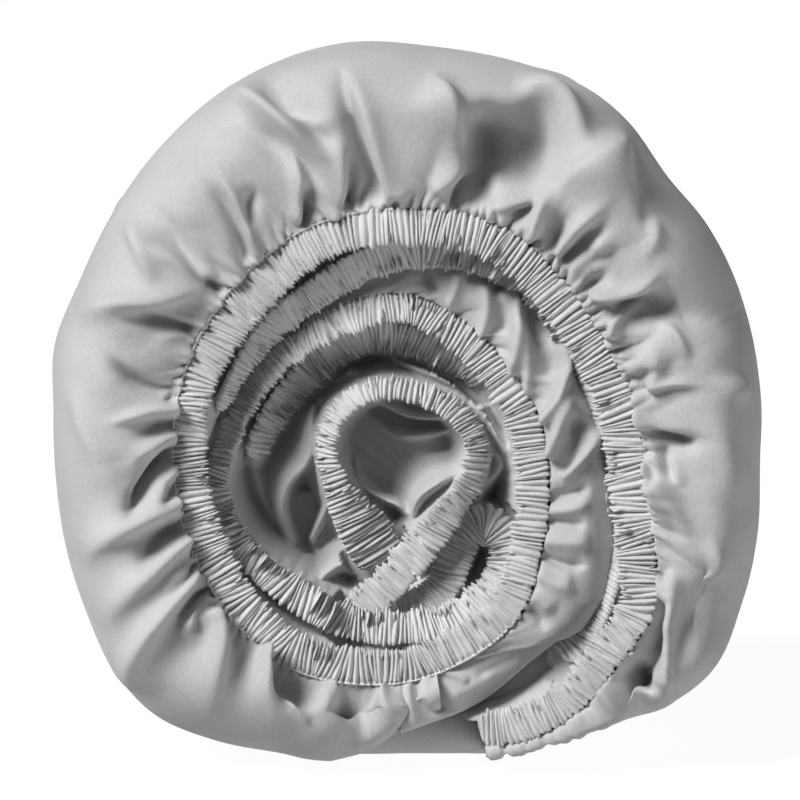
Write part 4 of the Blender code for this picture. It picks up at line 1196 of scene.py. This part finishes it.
# %% [markdown]
# ## Floor, light and camera
# A pale floor and a white surround, as for a catalogue picture. The roll could be lit by lamps
# alone, but its folds are soft, so most of the light comes from a wide sky: brightest in a ring
# round the camera and towards the upper left. A key light from the upper left draws the pleats, and
# a weak one from the lower right fills their shade. The camera looks slightly down the roll's axis.

# %% stage
SKY_FRONT = (
    # how nearly in front (1 is straight in front), share of the sky's strength
    (0.0, 0.40), (0.5, 1.0), (0.75, 0.90), (0.90, 0.40), (1.0, 0.13),
)
SKY_SIDE = (2.9, 4.5)  # strength at the lower right and at the upper left
SKY_LEFT = (-0.88, -0.24, 0.40)
world = bpy.data.worlds.new("studio")
bpy.context.scene.world = world
world.use_nodes = True
sky = world.node_tree
sky_place = add_node(sky, "TexCoord", {}, "Generated")


def sky_range(direction, low, high):
    """How nearly a part of the sky lies in a direction, spread from low to high."""
    nearly = add_node(sky, "VectorMath", {0: sky_place, 1: direction}, "Value",
                      operation="DOT_PRODUCT")
    return add_node(sky, "MapRange", {"Value": nearly, "From Min": -1.0, "To Min": low,
                                      "To Max": high}, "Result")


ring = add_ramp(sky, sky_range((0.0, -1.0, 0.0), 0.0, 1.0),
                [(at, (level,) * 3) for at, level in SKY_FRONT])
strength = add_node(sky, "Math", {0: ring, 1: sky_range(SKY_LEFT, *SKY_SIDE)}, 0,
                    operation="MULTIPLY")
fill_sockets(sky, sky.nodes["Background"], {"Strength": strength})


def stage_surface(name, colour, glow):
    """A plain pale surface that glows a little, so that it reads as white paper."""
    finish = bpy.data.materials.new(name)
    finish.use_nodes = True
    fill_sockets(finish.node_tree, finish.node_tree.nodes["Principled BSDF"], {
        "Base Color": (colour, colour, colour, 1.0), "Roughness": 1.0, "Specular IOR Level": 0.0,
        "Emission Color": (1.0, 1.0, 1.0, 1.0), "Emission Strength": glow})
    return finish


def stage_object(name, mesh, finish):
    """A thing of the stage, which is no part of the roll."""
    mesh.materials.append(finish)
    thing = place_object(name, mesh)
    return thing


FLOOR_HALF, FLOOR_UNDER = 40.0, 0.0005  # metres; the floor is just under the roll
floor_mesh = bpy.data.meshes.new("floor")
floor_mesh.from_pydata([(FLOOR_HALF * x, FLOOR_HALF * y, -FLOOR_UNDER)
                        for x, y in ((-1, -1), (1, -1), (1, 1), (-1, 1))], [], [(0, 1, 2, 3)])
floor = stage_object("floor", floor_mesh, stage_surface("white_paper", 0.12, 0.95))
floor.visible_diffuse = False
floor.visible_shadow = False
dome_build = bmesh.new()
bmesh.ops.create_uvsphere(dome_build, u_segments=48, v_segments=24, radius=60.0)
dome_mesh = bpy.data.meshes.new("surround")
dome_build.to_mesh(dome_mesh)
dome_build.free()
dome = stage_object("surround", dome_mesh, stage_surface("white_surround", 0.0, 1.0))
for way in ("visible_diffuse", "visible_glossy", "visible_shadow", "visible_transmission"):
    setattr(dome, way, False)


def sun(name, direction, strength, size):
    """A distant light shining from a direction, as wide as its angle in degrees."""
    lamp = bpy.data.lights.new(name, "SUN")
    lamp.energy = strength
    lamp.angle = math.radians(size)
    thing = place_object(name, lamp)
    thing.rotation_mode = "QUATERNION"
    thing.rotation_quaternion = Vector(direction).to_track_quat("Z", "Y")


sun("key", (-0.58, -0.57, 0.58), 3.4, 24.0)
sun("floor_bounce", (0.66, -0.24, -0.71), 1.1, 50.0)
print("stage:", floor.name, dome.name, [lamp.name for lamp in bpy.data.lights])

# %% camera
camera_data = bpy.data.cameras.new("camera")
camera_data.sensor_width = 36.0
camera_data.lens = 216.3
camera_data.clip_end = 150.0
camera = place_object("camera", camera_data)
camera.location = (-0.0023, -1.5563, 0.2160)
target = Vector((-0.0023, -0.060, 0.1114))
camera.rotation_mode = "QUATERNION"
camera.rotation_quaternion = (target - camera.location).to_track_quat("-Z", "Y")
bpy.context.scene.camera = camera
bpy.context.scene.view_settings.view_transform = "Standard"
